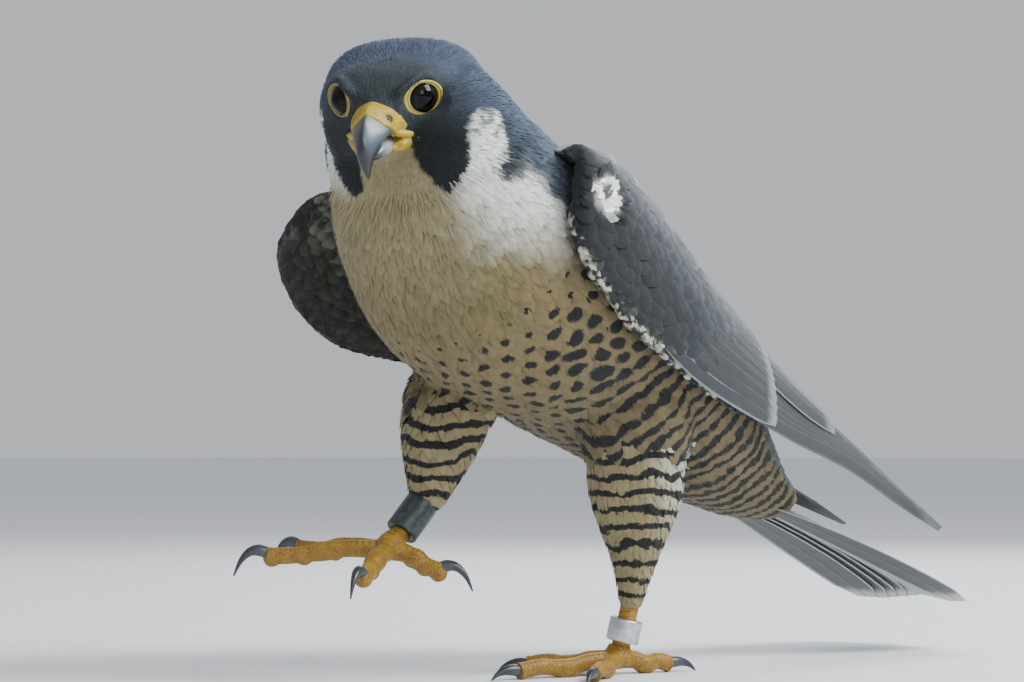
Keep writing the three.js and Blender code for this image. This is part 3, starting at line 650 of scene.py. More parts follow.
# Dark flecks in the upper part of the white cheek.
def cheek_flecks(points, h, degrees, hood, trunk):
    fleck = smooth(0.25, 0.5, noise(points, 1.8, 8) + 0.35 * smooth(-20, -12, h[:, 2]))
    fleck = fleck * smooth(-34, -24, h[:, 2]) * smooth(50, 56, degrees)
    return fleck * smooth(84, 78, degrees) * (1 - hood) * (1 - trunk)


# Row and column of the marks at each point, wavy as feathers lie.
def mark_places(points, across, rise, along, leg):
    sway = noise(points, 16, 9) * 0.36 + noise(points, 6, 12) * 0.20
    rows = np.where(leg > 0.5, -points[:, 2] / THIGH_ROW, along / BREAST_ROW) + sway
    around_leg = np.arctan2(points[:, 0] - 15, points[:, 1]) * THIGH_COLUMNS
    columns = np.where(leg > 0.5, around_leg, np.arctan2(across, -rise) * BREAST_COLUMNS)
    columns = columns + noise(points, 13, 13) * 0.25
    return np.stack([rows, columns, np.zeros(len(points))], 1)


# Half the width and height of the marks, and how far they show: spots on the belly, bars on the flanks
# and legs.
def mark_sizes(points, flank, rise, along, station, leg, dark):
    begin = smooth(SPOTS_BEGIN - 3, SPOTS_BEGIN + 8, along + 5 * noise(points, 15, 10))
    begin = begin * smooth(0.34, 0.12, rise) * smooth(3.0, 3.6, station)
    full = smooth(SPOTS_BEGIN, SPOTS_FULL, along) * (0.35 + 0.65 * smooth(0.35, 0.85, flank))
    bar = smooth(BARS_BEGIN, BARS_FULL, along) * smooth(0.30, 0.70, flank + 0.5 * smooth(-110, -60, along))
    bar, begin = np.maximum(bar, leg), np.maximum(begin, leg)
    shown = begin * (1 - smooth(0.35, 0.65, dark)) * (1 + 0.35 * noise(points, 8, 11))
    halves = [mix(mix(small, large, full), mix(breast, thigh, leg), bar)
              for small, large, breast, thigh in zip(SMALL_SPOT, LARGE_SPOT, BREAST_BAR, THIGH_BAR)]
    return np.stack([np.maximum(half * shown, LEAST_MARK) for half in halves] + [shown], 1)


# Colour of the feathers, rows and columns of the marks, and the size of the marks.
def plumage(points, leg=None):
    h = to_head(points)
    station, across, rise = spine_place(points)
    degrees, along = np.abs(head_degrees(h)), points @ TAILWARD
    wobble = noise(points, 5, 1) * 0.9 + noise(points, 2.2, 2) * 0.7
    hood = hood_share(h, degrees, wobble)
    shoulder = smooth(2.1, 2.6, station) * smooth(4.4, 3.4, station) * smooth(0.72, 0.92, np.abs(across))
    back = smooth(-0.05, 0.05, rise - 0.21 + 0.21 * shoulder + 0.03 * wobble)
    trunk = smooth(2.2, 3.0, station)
    leg = thigh_share(points) if leg is None else np.full(len(points), float(leg))
    dark = mix(hood, back, trunk) * (1 - leg)
    pale = pale_ground(points, h, degrees, along, leg, wobble)
    deep = deep_ground(points, h, degrees, station, wobble)
    fleck = cheek_flecks(points, h, degrees, hood, trunk)
    ground = tint(tint(pale, deep, dark), CROWN * 0.6, 0.75 * fleck)
    spot = mark_sizes(points, np.abs(across), rise, along, station, leg, dark)
    return ground, mark_places(points, across, rise, along, leg), spot


# Materials

class Graph:
    def __init__(self, name):
        self.material = bpy.data.materials.new(name)
        self.material.use_nodes = True
        self.nodes = self.material.node_tree.nodes
        self.links = self.material.node_tree.links
        self.shader = self.nodes["Principled BSDF"]

    def put(self, target, value):
        if isinstance(value, bpy.types.NodeSocket):
            self.links.new(value, target)
        else:
            target.default_value = value

    def math(self, operation, a, b=0.0, c=0.0):
        node = self.nodes.new("ShaderNodeMath")
        node.operation = operation
        for socket, value in zip(node.inputs, (a, b, c)):
            self.put(socket, value)
        return node.outputs[0]

    def attribute(self, name):
        node = self.nodes.new("ShaderNodeAttribute")
        node.attribute_type = "GEOMETRY"
        node.attribute_name = name
        return node

    def parts(self, vector):
        node = self.nodes.new("ShaderNodeSeparateXYZ")
        self.put(node.inputs[0], vector)
        return node.outputs

    def between(self, value, low, high, out_low=0.0, out_high=1.0):
        node = self.nodes.new("ShaderNodeMapRange")
        node.interpolation_type = "SMOOTHSTEP"
        for socket, v in zip(node.inputs, (value, low, high, out_low, out_high)):
            self.put(socket, v)
        return node.outputs[0]

    def blend(self, factor, a, b, mode="MIX"):
        node = self.nodes.new("ShaderNodeMix")
        node.data_type = "RGBA"
        node.blend_type = mode
        self.put(node.inputs["Factor"], factor)
        for socket, v in zip((node.inputs[6], node.inputs[7]), (a, b)):
            self.put(socket, v)
        return node.outputs[2]

    # A colour made lighter or darker by a number.
    def toned(self, colour, tone):
        grey = self.nodes.new("ShaderNodeCombineColor")
        for socket in grey.inputs:
            self.put(socket, tone)
        return self.blend(1.0, colour, grey.outputs[0], "MULTIPLY")

    def noise(self, scale, detail=2.0, vector=None, rough=0.5):
        node = self.nodes.new("ShaderNodeTexNoise")
        if vector is None:
            vector = self.nodes.new("ShaderNodeTexCoord").outputs["Object"]
        self.put(node.inputs["Vector"], vector)
        self.put(node.inputs["Scale"], scale)
        self.put(node.inputs["Detail"], detail)
        self.put(node.inputs["Roughness"], rough)
        return node.outputs[0]

    def cells(self, scale, feature="F1", vector=None):
        node = self.nodes.new("ShaderNodeTexVoronoi")
        node.feature = feature
        if vector is None:
            vector = self.nodes.new("ShaderNodeTexCoord").outputs["Object"]
        self.put(node.inputs["Vector"], vector)
        self.put(node.inputs["Scale"], scale)
        return node.outputs[0]

    # Constant numbers set on the shader's own sockets.
    def set(self, values):
        for name, value in values.items():
            self.shader.inputs[name].default_value = value

    def bump(self, height, strength, distance):
        node = self.nodes.new("ShaderNodeBump")
        self.put(node.inputs["Height"], height)
        node.inputs["Strength"].default_value = strength
        node.inputs["Distance"].default_value = distance
        self.links.new(node.outputs[0], self.shader.inputs["Normal"])

    def finish(self, colour, roughness, sheen=0.0):
        self.put(self.shader.inputs["Base Color"], colour)
        self.put(self.shader.inputs["Roughness"], roughness)
        self.set({"Sheen Weight": sheen})
        return self.material


def rgb(values):
    return tuple(float(v) for v in values) + (1.0,)


# Feathers of the body and the skin under them: ground, marks in rows, paler fringe, fine barbs.
def plumage_material(name, barbs, sheen):
    g = Graph(name)
    ground = g.attribute("ground").outputs["Color"]
    row, column, _ = g.parts(g.attribute("marks").outputs["Vector"])
    wide, high, shown = g.parts(g.attribute("spot").outputs["Vector"])
    u, v, fringe = g.parts(g.attribute("vane").outputs["Vector"])
    grit = g.noise(700, 2)
    row = g.math("MULTIPLY_ADD", g.math("SUBTRACT", grit, 0.5), 0.12, row)
    odd = g.math("MULTIPLY", g.math("PINGPONG", g.math("FLOOR", row), 1.0), 0.5)
    dv = g.math("DIVIDE", g.math("SUBTRACT", g.math("FRACT", row), 0.5), high)
    column = g.math("FRACT", g.math("ADD", column, odd))
    du = g.math("DIVIDE", g.math("SUBTRACT", column, 0.5), wide)
    far = g.math("SQRT", g.math("ADD", g.math("MULTIPLY", du, du), g.math("MULTIPLY", dv, dv)))
    spot = g.math("MULTIPLY", g.between(far, 1.15, 0.80), g.between(shown, 0.05, 0.30))
    side = g.math("ABSOLUTE", u)
    edge = g.between(g.math("MAXIMUM", side, v), 0.66, 0.96)
    streak = g.math("SINE", g.math("MULTIPLY_ADD", side, barbs * 0.55, g.math("MULTIPLY", v, -barbs)))
    colour = g.blend(spot, ground, rgb(INK))
    pale = g.blend(1.0, colour, rgb((2.1, 2.05, 2.0)), "MULTIPLY")
    colour = g.blend(g.math("MULTIPLY", edge, fringe), colour, pale)
    colour = g.toned(colour, g.math("MULTIPLY_ADD", streak, 0.035, 1.0))
    g.bump(g.math("ADD", streak, g.math("MULTIPLY", grit, 1.5)), 0.25, 0.0002)
    g.set({"Subsurface Weight": 0.12, "Subsurface Radius": (0.002, 0.0018, 0.0015)})
    return g.finish(colour, 0.8, sheen)


PLUMAGE = plumage_material("plumage", 46.0, 0.06)


SHAFT, QUILL_BARBS = (0.010, 0.010, 0.011), 85.0


# Flight and covert feathers of the wings and tail: colour, pale edge, bars, shaft and barbs.
def quill_material(name):
    g = Graph(name)
    ground, ink, rim = (g.attribute(key).outputs["Color"] for key in ("ground", "ink", "rim"))
    bars, edge_share, shaft_share = g.parts(g.attribute("marks").outputs["Vector"])
    u, v, length = g.parts(g.attribute("vane").outputs["Vector"])
    side = g.math("ABSOLUTE", u)
    grit = g.noise(500, 3)
    run = g.math("MULTIPLY", v, length)
    slant = g.math("MULTIPLY_ADD", side, -0.22, run)
    slant = g.math("MULTIPLY_ADD", grit, 0.16, slant)
    wave = g.math("SINE", g.math("MULTIPLY", slant, 6.2832))
    bar = g.math("MULTIPLY", g.between(wave, -0.25, 0.35), bars)
    colour = g.blend(bar, ground, ink)
    near = g.math("ADD", g.math("MAXIMUM", side, g.math("MULTIPLY", v, v)),
                  g.math("MULTIPLY", g.math("SUBTRACT", grit, 0.5), 0.10))
    edge = g.math("MULTIPLY", g.between(near, 0.80, 0.96), edge_share)
    colour = g.blend(edge, colour, rim)
    shaft = g.math("MULTIPLY", g.between(side, 0.075, 0.03), shaft_share)
    colour = g.blend(shaft, colour, rgb(SHAFT))
    barb = g.math("SINE", g.math("MULTIPLY", g.math("MULTIPLY_ADD", side, -0.5, run), QUILL_BARBS))
    colour = g.toned(colour, g.math("MULTIPLY_ADD", barb, 0.05, 1.0))
    ridge = g.between(side, 0.10, 0.0)
    g.bump(g.math("ADD", g.math("MULTIPLY", barb, 0.35), g.math("MULTIPLY", ridge, 2.0)), 0.5, 0.0003)
    return g.finish(colour, 0.58, 0.15)


QUILL = quill_material("quills")

# Coat

# Middle of each thigh, and the heights that the unwraps start from and reach over.
THIGH_AXES = {"l": (18, -6), "r": (-30, -72)}
HEAD_LOW, HEAD_SPAN, THIGH_LOW, THIGH_SPAN = -60, 110, 20, 125


# Unwraps of the skin's own shape, one for each coat piece: round the part and along it.
def unwrap(points, region):
    if region == "head":
        h = to_head(points)
        u = (head_degrees(h) + 180) / 360
        v = (h[:, 2] - HEAD_LOW) / HEAD_SPAN
    elif region == "thigh":
        left = points[:, 0] > 0
        x, y = (np.where(left, THIGH_AXES["l"][k], THIGH_AXES["r"][k]) for k in (0, 1))
        u = (np.arctan2(points[:, 0] - x, points[:, 1] - y) / math.pi + 1) / 4 + np.where(left, 0.5, 0)
        v = (points[:, 2] - THIGH_LOW) / THIGH_SPAN
    else:
        station, across, rise = spine_place(points)
        u = (np.arctan2(across, rise) / math.pi + 1) / 2
        v = station / (len(SPINE) - 1)
    return np.stack([u, v], 1)


TUFT_PATCH, MAP_EDGE = 0.003, 0.002


# Gives each feather a small patch of the map at its root's place.
def add_patch_map(mesh, root_uv, u, v):
    root_uv = np.clip(root_uv, MAP_EDGE, 1 - MAP_EDGE)
    uv = root_uv + np.stack([u * 0.5, v - 0.5], -1) * TUFT_PATCH
    loops = np.zeros(len(mesh.loops), np.int32)
    mesh.loops.foreach_get("vertex_index", loops)
    mesh.uv_layers.new(name="OFBake")
    mesh.uv_layers["OFBake"].data.foreach_set("uv", uv[loops].astype(np.float32).ravel())


# The part of a direction that lies along the surface.
def flattened(way, normals):
    return unit(way - normals * dot(way, normals)[:, None])


# Lie of the coat: back from the bill over the head, tailward over the trunk, down the legs, round the eyes.
def lie(points, normals):
    head = smooth(3.0, 1.4, spine_place(points)[0])
    leg = thigh_share(points)
    way = unit(points - BILL_ROOT) * head[:, None] + TAILWARD * (1 - head)[:, None]
    way = way * (1 - leg)[:, None] + np.array((0, 0.12, -1.0)) * leg[:, None]
    for side in (1, -1):
        gaze, _, _, _, rim = eye_frame(side)
        to_eye = rim - points
        to_eye = to_eye - gaze * (to_eye @ gaze)[:, None]
        far = np.linalg.norm(to_eye, axis=1)
        toward = to_eye / np.maximum(far, 1e-6)[:, None]
        same = smooth(30, 18, np.linalg.norm(rim - points, axis=1))
        push = np.maximum(dot(unit(way), toward), 0) * smooth(20, 9, far) * same
        way = way - toward * (push * 1.15)[:, None] * np.linalg.norm(way, axis=1)[:, None]
    return flattened(way, normals)


# Distance of points from the outer edge of the nearer lid.
def eye_clearance(points):
    best = np.full(len(points), 99.0)
    for side in (1, -1):
        gaze, across, rise, _, rim = eye_frame(side)
        r = points - rim
        spread = np.hypot((r @ across) / LID_LONG, (r @ rise) / LID_TALL) - LID_R
        best = np.minimum(best, np.where(r @ gaze > -7, spread, 99.0))
    return best


CERE_REACH, CLEAR_OF_CERE = 12.0, 9.0


# Height of points above the yellow skin round the bill, or below it where they lie inside.
def above_cere(points):
    heights = []
    for p in points.tolist():
        place, normal, _, _ = cere_ground.tree.find_nearest(p, CERE_REACH)
        heights.append(CLEAR_OF_CERE if place is None else (Vector(p) - place).dot(normal))
    return np.array(heights)


def varied(seed, count, spread):
    return draws(seed).uniform(1 - spread, 1 + spread, count)


# How deep a root sits, the share of its lift that a feather has halfway, how far it rolls, how much
# its rows and columns of marks stray, and how far its colour is the one at its middle.
ROOT_DEPTH, MIDDLE_LIFT, ROLL, MARK_STRAY, ONE_COLOUR = 0.5, 0.62, 0.07, 0.04, 0.6
PIECE_SEED = 500


# Feathers of a tract: thin curved vanes over a surface from each root along the lie. sizes are the
# usual length, width and lift of the tip, and spreads say how far each of them varies.
class Feathers:
    def __init__(self, ground, roots, normals, way, sizes, spreads=(0, 0, 0), seed=0):
        self.ground, self.roots, self.normals, self.way = ground, roots, normals, way
        length, width, lift = (size if spread == 0 else size * varied(seed + k, len(roots), spread)
                               for k, (size, spread) in enumerate(zip(sizes, spreads)))
        self.length, self.width, self.lift = length, width, lift

    def part(self, chosen):
        sizes = [size[chosen] for size in (self.length, self.width, self.lift)]
        return Feathers(self.ground, self.roots[chosen], self.normals[chosen], self.way[chosen], sizes)

    def vanes(self, rows, columns, profile, camber, seed, ragged=0.0):
        rng = draws(seed)
        n = len(self.roots)
        half_way = self.length[:, None] * 0.5
        middle, n1 = self.ground.settle(self.roots + self.way * half_way)
        way = unit(self.way - n1 * dot(self.way, n1)[:, None])
        end, n2 = self.ground.settle(middle + way * half_way)
        p0 = self.roots - self.normals * ROOT_DEPTH
        p1 = middle + n1 * (self.lift * MIDDLE_LIFT)[:, None]
        p2 = end + n2 * self.lift[:, None]
        v = np.linspace(0, 1, rows)
        b0, b1, b2 = (1 - v) * (1 - 2 * v), 4 * v * (1 - v), v * (2 * v - 1)
        spine = p0[:, None] * b0[:, None] + p1[:, None] * b1[:, None] + p2[:, None] * b2[:, None]
        tangent = unit(np.gradient(spine, axis=1))
        normal = unit(mix(self.normals[:, None], n2[:, None], v[:, None]))
        side = unit(np.cross(tangent, normal))
        normal = np.cross(side, tangent)
        roll = rng.normal(0, ROLL, n)[:, None, None]
        side = side * np.cos(roll) + normal * np.sin(roll)
        u = np.linspace(-1, 1, columns)
        half = self.width[:, None] / 2 * np.asarray(profile)[None]
        shape = spine[:, :, None] + side[:, :, None] * (half[..., None] * u)[..., None]
        shape = shape - normal[:, :, None] * (half[..., None] * (u**2 * camber))[..., None]
        if ragged:
            tear = rng.uniform(-ragged, ragged * 0.4, (n, 1, columns)) * (v**2)[None, :, None]
            shape = shape + tangent[:, :, None] * tear[..., None]
        return shape, u, v

    # One joined mesh of the tract; dress() gives the colours and marks at any points.
    def piece(self, name, dress, region, columns, profile, camber, seed, ragged=0.0, fringe=0.0,
              jitter=0.05):
        rows = len(profile)
        shape, u, v = self.vanes(rows, columns, profile, camber, seed, ragged)
        n, each = len(self.roots), rows * columns
        points = shape.reshape(-1, 3)
        mesh = raw_mesh(name, points, repeated(grid_faces(rows, columns), n, each))
        rng = draws(seed + PIECE_SEED)
        ground, marks, spot = dress(points)
        middle = dress(shape[:, rows * 2 // 3, columns // 2])[0]
        ground = mix(ground, np.repeat(middle, each, 0), ONE_COLOUR)
        tone = np.clip(1 + rng.normal(0, jitter, n), 0.6, 1.5)
        marks[:, :2] += np.repeat(rng.normal(0, MARK_STRAY, (n, 2)), each, 0)
        uu = np.tile(np.broadcast_to(u, (rows, columns)).ravel(), n)
        vv = np.tile(np.broadcast_to(v[:, None], (rows, columns)).ravel(), n)
        paint(mesh, "ground", np.clip(ground * np.repeat(tone, each)[:, None], 0, 1), "FLOAT_COLOR")
        paint(mesh, "marks", marks)
        paint(mesh, "spot", spot)
        paint(mesh, "vane", np.stack([uu, vv, np.repeat(np.broadcast_to(fringe, n), each)], 1))
        add_patch_map(mesh, np.repeat(unwrap(self.roots, region), each, 0), uu, vv)
        return piece(name, mesh, PLUMAGE)


# Width of a feather from root to tip, as a share of its widest place.
NARROW = (0.55, 1.0, 0.9, 0.55, 0.08)
ROUNDED = (0.45, 0.8, 0.98, 1.0, 0.93, 0.70, 0.25)
SOFT = (0.5, 0.9, 1.0, 0.85, 0.5, 0.12)
ROUND_SOFT = (0.4, 0.8, 1.0, 1.0, 0.8, 0.3)
BARB = (0.6, 1.0, 0.8, 0.45, 0.05)
BRISTLE = (0.8, 1.0, 0.7, 0.1)
# Rows of SPINE that the tracts of the head and the body reach to.
HEAD_END, BODY_START, DOWN_START, DOWN_END = 2.2, 2.05, 1.8, 10
# Distance between the roots, and length, width and lift of the vanes, each where the tract's feathers are
# smallest and where they are largest.
HEAD_GAP, HEAD_VANE = (0.85, 1.5), ((2.2, 6.5), (0.75, 1.7), (0.32, 0.65))
BODY_GAP, BODY_VANE = (2.4, 3.8), ((8.0, 14.0), (4.2, 8.4), (1.2, 2.1))
THIGH_GAP, THIGH_VANE = (1.8, 2.9), ((6.0, 11.0), (2.8, 5.4), (1.1, 1.7))
DOWN_GAP, DOWN_VANE = 1.75, (6.5, 0.75, 2.2)
BRISTLE_GAP, BRISTLE_VANE = 2.1, (3.2, 0.12, 1.0)
DORSAL_GAP, DORSAL_WIDTH = 1.25, 1.15
HEAD_SEED, BODY_SEED, THIGH_SEED, DOWN_SEED, BRISTLE_SEED, TUFT_SEED = 11, 21, 31, 41, 51, 61


def sized(pairs, share):
    return [mix(small, large, share) for small, large in pairs]


def wayward(way, normals, spread, seed):
    swing = draws(seed).normal(0, spread, len(way))
    return unit(way + np.cross(normals, way) * swing[:, None])


FLESH = ("head", "neck", "torso", "thigh_l", "thigh_r")


def skin_piece():
    ground, marks, spot = plumage(body.points)
    paint(skin_mesh, "ground", np.clip(ground * 0.85, 0, 1), "FLOAT_COLOR")
    paint(skin_mesh, "marks", marks)
    paint(skin_mesh, "spot", spot)
    paint(skin_mesh, "vane", np.zeros((len(body.points), 3)))
    return piece("skin", skin_mesh, PLUMAGE, FLESH)


def on_trunk(points):
    return plumage(points, 0)


def on_leg(points):
    return plumage(points, 1)


def head_tract():
    def spacing(p):
        return np.where(spine_place(p)[0] < HEAD_END, mix(*HEAD_GAP, smooth(14, 62, from_bill(p))), 0)
    roots, normals = body.scatter(spacing, HEAD_SEED)
    keep = (eye_clearance(roots) > 0.6) & (above_cere(roots) > -0.1)
    roots, normals = roots[keep], normals[keep]
    far, clear = smooth(12, 65, from_bill(roots)), np.maximum(eye_clearance(roots), 0)
    way = wayward(lie(roots, normals), normals, 0.10, HEAD_SEED + 4)
    sizes = sized(HEAD_VANE, far)
    tract = Feathers(body, roots, normals, way, sizes, (0.2, 0.2, 0.3), HEAD_SEED + 1)
    tract.length = np.minimum(tract.length, 1.0 + clear)
    for k in range(2):
        half = tract.part(slice(k, None, 2))
        half.piece(f"coat_head_{k + 1}", plumage, "head", 3, NARROW, 0.25, HEAD_SEED + 5 + k, jitter=0.11)


def body_tract():
    def spacing(p):
        station, _, rise = spine_place(p)
        gap = mix(*BODY_GAP, smooth(2.0, 4.5, station))
        gap = np.where(rise > 0.2, gap * DORSAL_GAP, gap)
        return np.where((station >= BODY_START) & (thigh_share(p) < 0.6), gap, 0)
    roots, normals = body.scatter(spacing, BODY_SEED)
    station, _, rise = spine_place(roots)
    grow, dorsal = smooth(1.9, 4.5, station), rise > 0.15
    way = wayward(lie(roots, normals), normals, 0.06, BODY_SEED + 4)
    length, width, lift = sized(BODY_VANE, grow)
    sizes = length, width * np.where(dorsal, DORSAL_WIDTH, 1), lift
    tract = Feathers(body, roots, normals, way, sizes, (0.15, 0.15, 0.18), BODY_SEED + 1)
    back, breast = tract.part(dorsal), tract.part(~dorsal)
    back.piece("coat_back", on_trunk, "trunk", 5, ROUNDED, 0.30, BODY_SEED + 5, 0.5, 0.6)
    breast.piece("coat_breast", on_trunk, "trunk", 5, ROUNDED, 0.22, BODY_SEED + 6, 1.0, jitter=0.03)


def thigh_tract():
    def spacing(p):
        return np.where(thigh_share(p) >= 0.4, mix(*THIGH_GAP, smooth(30, 110, p[:, 2])), 0)
    roots, normals = body.scatter(spacing, THIGH_SEED)
    sizes = sized(THIGH_VANE, smooth(30, 110, roots[:, 2]))
    way = wayward(lie(roots, normals), normals, 0.06, THIGH_SEED + 4)
    tract = Feathers(body, roots, normals, way, sizes, (0.15, 0.15, 0.2), THIGH_SEED + 1)
    tract.piece("coat_thighs", on_leg, "thigh", 4, SOFT, 0.25, THIGH_SEED + 5, 0.7)


# Loose soft barbs over the breast and the neck, that blur the edges of the feathers under them.
def down_tract():
    def spacing(p):
        station, _, rise = spine_place(p)
        along = (station > DOWN_START) & (station < DOWN_END)
        return np.where((rise < 0.3) & along & (thigh_share(p) < 0.4), DOWN_GAP, 0)
    roots, normals = body.scatter(spacing, DOWN_SEED)
    way = wayward(lie(roots, normals), normals, 0.16, DOWN_SEED + 4)
    tract = Feathers(body, roots, normals, way, DOWN_VANE, (0.25, 0.35, 0.15), DOWN_SEED + 1)
    tract.piece("coat_down", on_trunk, "trunk", 2, BARB, 0.0, DOWN_SEED + 5, jitter=0.035)


BRISTLE_PALE, BRISTLE_REACH = (0.10, 0.105, 0.09), 18


def on_bristles(points):
    _, marks, spot = plumage(points)
    return np.tile(BRISTLE_PALE, (len(points), 1)), marks, np.full_like(spot, LEAST_MARK)


# Fine pale bristles that stand up from the lores and the forehead over the yellow skin.
def bristle_tract():
    def spacing(p):
        h = to_head(p)
        ring = (from_bill(p) < BRISTLE_REACH) & (h[:, 2] > -7) & (h[:, 1] > 2)
        return np.where(ring, BRISTLE_GAP, 0)
    roots, normals = body.scatter(spacing, BRISTLE_SEED)
    height = above_cere(roots)
    keep = (eye_clearance(roots) > 2.0) & (height > -0.6) & (height < 6)
    roots, normals = roots[keep], normals[keep]
    way = unit(lie(roots, normals) + UP * 0.5)
    way = wayward(flattened(way, normals), normals, 0.35, BRISTLE_SEED + 1)
    tract = Feathers(body, roots, normals, way, BRISTLE_VANE, (0.35, 0.3, 0.4), BRISTLE_SEED + 2)
    tract.piece("coat_bristles", on_bristles, "head", 2, BRISTLE, 0.0, BRISTLE_SEED + 5, jitter=0.3)


# Wings

# Each wing is a curved sheet between its leading edge and its top edge, both from shoulder to tip.
WINGS = {
    "l": {
        "edge": [(58, -91, 190), (64, -90, 171), (65, -68, 147), (62, -28, 125), (57, 8, 111),
                 (48, 58, 95), (37, 114, 82), (27, 166, 66), (20, 214, 53)],
        "top": [(40, -84, 207), (31, -44, 208), (23, -4, 190), (18, 34, 162), (15, 72, 136),
                (14, 108, 114), (15, 144, 94), (17, 180, 72), (20, 214, 53)],
        "bulge": 18, "side": 1,
    },
    "r": {
        "edge": [(-86, -104, 186), (-98, -102, 175), (-101, -90, 156), (-100, -68, 140),
                 (-95, -42, 134), (-82, 10, 126), (-64, 68, 104), (-46, 126, 81), (-28, 210, 54)],
        "top": [(-46, -90, 197), (-37, -44, 202), (-28, -4, 187), (-21, 34, 162), (-18, 72, 138),
                (-18, 108, 116), (-20, 144, 95), (-24, 180, 73), (-28, 210, 54)],
        "bulge": 14, "side": -1,
    },
}
ARM_END, ARM_THICK, ARM_VOXEL, ARM_ROUNDS = 0.46, 11, 1.3, 5
ARM_SEEDS, QUILL_SEEDS = {"l": 71, "r": 72}, {"l": 51, "r": 52}
ARM_SIZE_SEED, ARM_LIE_SEED, ARM_FRINGE_SEED, ARM_PIECE_SEED = 73, 76, 77, 78
# Length of a wing along s, and the distance between the bars of its inner side.
WING_LONG, INNER_BAR = 330, 4.4
TUFT, TUFT_REACH = np.array((67, -78.5, 192)), np.array((6.5, 6.5, 7.5))
TUFT_WAY, TUFT_GAP, TUFT_VANE = np.array((0.55, 0.75, 0.25)), 1.6, (8.0, 2.8, 2.6)


# The curved sheet of a wing: s runs from the shoulder to the tip, t from the leading edge to the top.
class Sheet:
    def __init__(self, edge, top, bulge, side):
        self.side, self.bulge = side, bulge
        self.out = unit(np.array((side * 0.75, 0, 0.66)))
        self.low, self.high = self.even(edge), self.even(top)

    @staticmethod
    def even(rows):
        dense = resample(rows, 400)
        run = np.concatenate([[0], np.cumsum(np.linalg.norm(np.diff(dense, axis=0), axis=1))])
        return run / run[-1], dense

    @staticmethod
    def along(curve, s):
        run, dense = curve
        s = np.clip(s, 0, 1)
        return np.stack([np.interp(s, run, dense[:, k]) for k in range(3)], -1)

    def at(self, s, t):
        arch = self.bulge * 4 * t * (1 - t) * (1 - np.clip(s, 0, 1))**0.7
        flat = mix(self.along(self.low, s), self.along(self.high, s), t[..., None])
        return flat + self.out * arch[..., None]

    def normal(self, s, t):
        e = 0.02
        along = self.at(np.minimum(s + e, 1), t) - self.at(np.maximum(s - e, 0), t)
        across = self.at(s, np.minimum(t + e, 1)) - self.at(s, np.maximum(t - e, 0))
        n = unit(np.cross(along, across))
        n = n * np.sign(dot(n, self.out))[..., None]
        return unit(n + self.out * 0.5)


QUILL_ROWS, QUILL_CAMBER, QUILL_THICK = 10, 0.12, 0.45
LOOKS = ("ground", "ink", "rim", "marks")


# Closed thin vanes laid over a sheet, each from its root to its tip. A look gives a vane's colour, the
# colours of its bars and its rim, and the strength of its bars, rim and shaft.
class Quills:
    def __init__(self, columns):
        self.columns = columns
        self.points, self.vane, self.looks, self.roots = [], [], [], []

    def add(self, path, normals, width, profile, lift, look, bars, root, camber=QUILL_CAMBER):
        tangent = unit(np.gradient(path, axis=0))
        side = unit(np.cross(tangent, normals))
        n = np.cross(side, tangent)
        u, v = np.linspace(-1, 1, self.columns), np.linspace(0, 1, QUILL_ROWS)
        half = width / 2 * np.asarray(profile)[:, None]
        raise_low = np.full((QUILL_ROWS, 1), lift) * (0.5 - 0.5 * u)[None] - half * camber * u[None]**2
        top = path[:, None] + side[:, None] * (half * u)[..., None] + n[:, None] * raise_low[..., None]
        body = QUILL_THICK * (1 - 0.75 * np.abs(u))[None] * np.ones((QUILL_ROWS, 1))
        self.points.append(np.stack([top, top - n[:, None] * body[..., None]]))
        uu, vv = np.meshgrid(u, v)
        self.vane.append(np.stack([uu, vv, np.full_like(uu, bars)], -1))
        self.looks.append(look)
        self.roots.append(root)

    # Faces of one vane: its top, its underside and the wall between them.
    def faces(self):
        r, c = QUILL_ROWS, self.columns
        top = grid_faces(r, c)
        ring = np.concatenate([np.arange(c), np.arange(1, r) * c + c - 1,
                               (r - 1) * c + np.arange(c - 2, -1, -1), np.arange(r - 2, 0, -1) * c])
        ahead = np.roll(ring, -1)
        walls = np.stack([ahead, ring, ring + r * c, ahead + r * c], 1)
        return np.concatenate([top, top[:, ::-1] + r * c, walls])

    def piece(self, name, slot="flight_feathers"):
        each = 2 * QUILL_ROWS * self.columns
        faces = repeated(self.faces(), len(self.points), each)
        mesh = raw_mesh(name, np.array(self.points).reshape(-1, 3), faces)
        vane = np.concatenate([np.stack([v, v]).reshape(-1, 3) for v in self.vane])
        paint(mesh, "vane", vane)
        for key, values in zip(LOOKS, zip(*self.looks)):
            kind = "FLOAT_VECTOR" if key == "marks" else "FLOAT_COLOR"
            paint(mesh, key, np.repeat(np.array(values), each, 0), kind)
        add_patch_map(mesh, np.repeat(np.array(self.roots), each, 0), vane[:, 0], vane[:, 1])
        return piece(name, mesh, QUILL, (name,))


SLATE, DUSK = np.array((0.009, 0.013, 0.017)), np.array((0.012, 0.014, 0.017))
SCAPULAR = np.array((0.062, 0.069, 0.079))
EDGE_PALE = np.array((0.42, 0.40, 0.32))
RIM, PALE_RIM = np.array((0.22, 0.25, 0.28)), np.array((0.62, 0.62, 0.58))
UNDER_DARK, UNDER_PALE = np.array((0.020, 0.021, 0.016)), np.array((0.135, 0.130, 0.100))
BLADE = (0.42, 0.70, 0.88, 0.97, 1.0, 0.99, 0.94, 0.84, 0.66, 0.36)
POINTED = (0.55, 0.80, 0.93, 1.0, 1.0, 0.96, 0.88, 0.74, 0.52, 0.16)


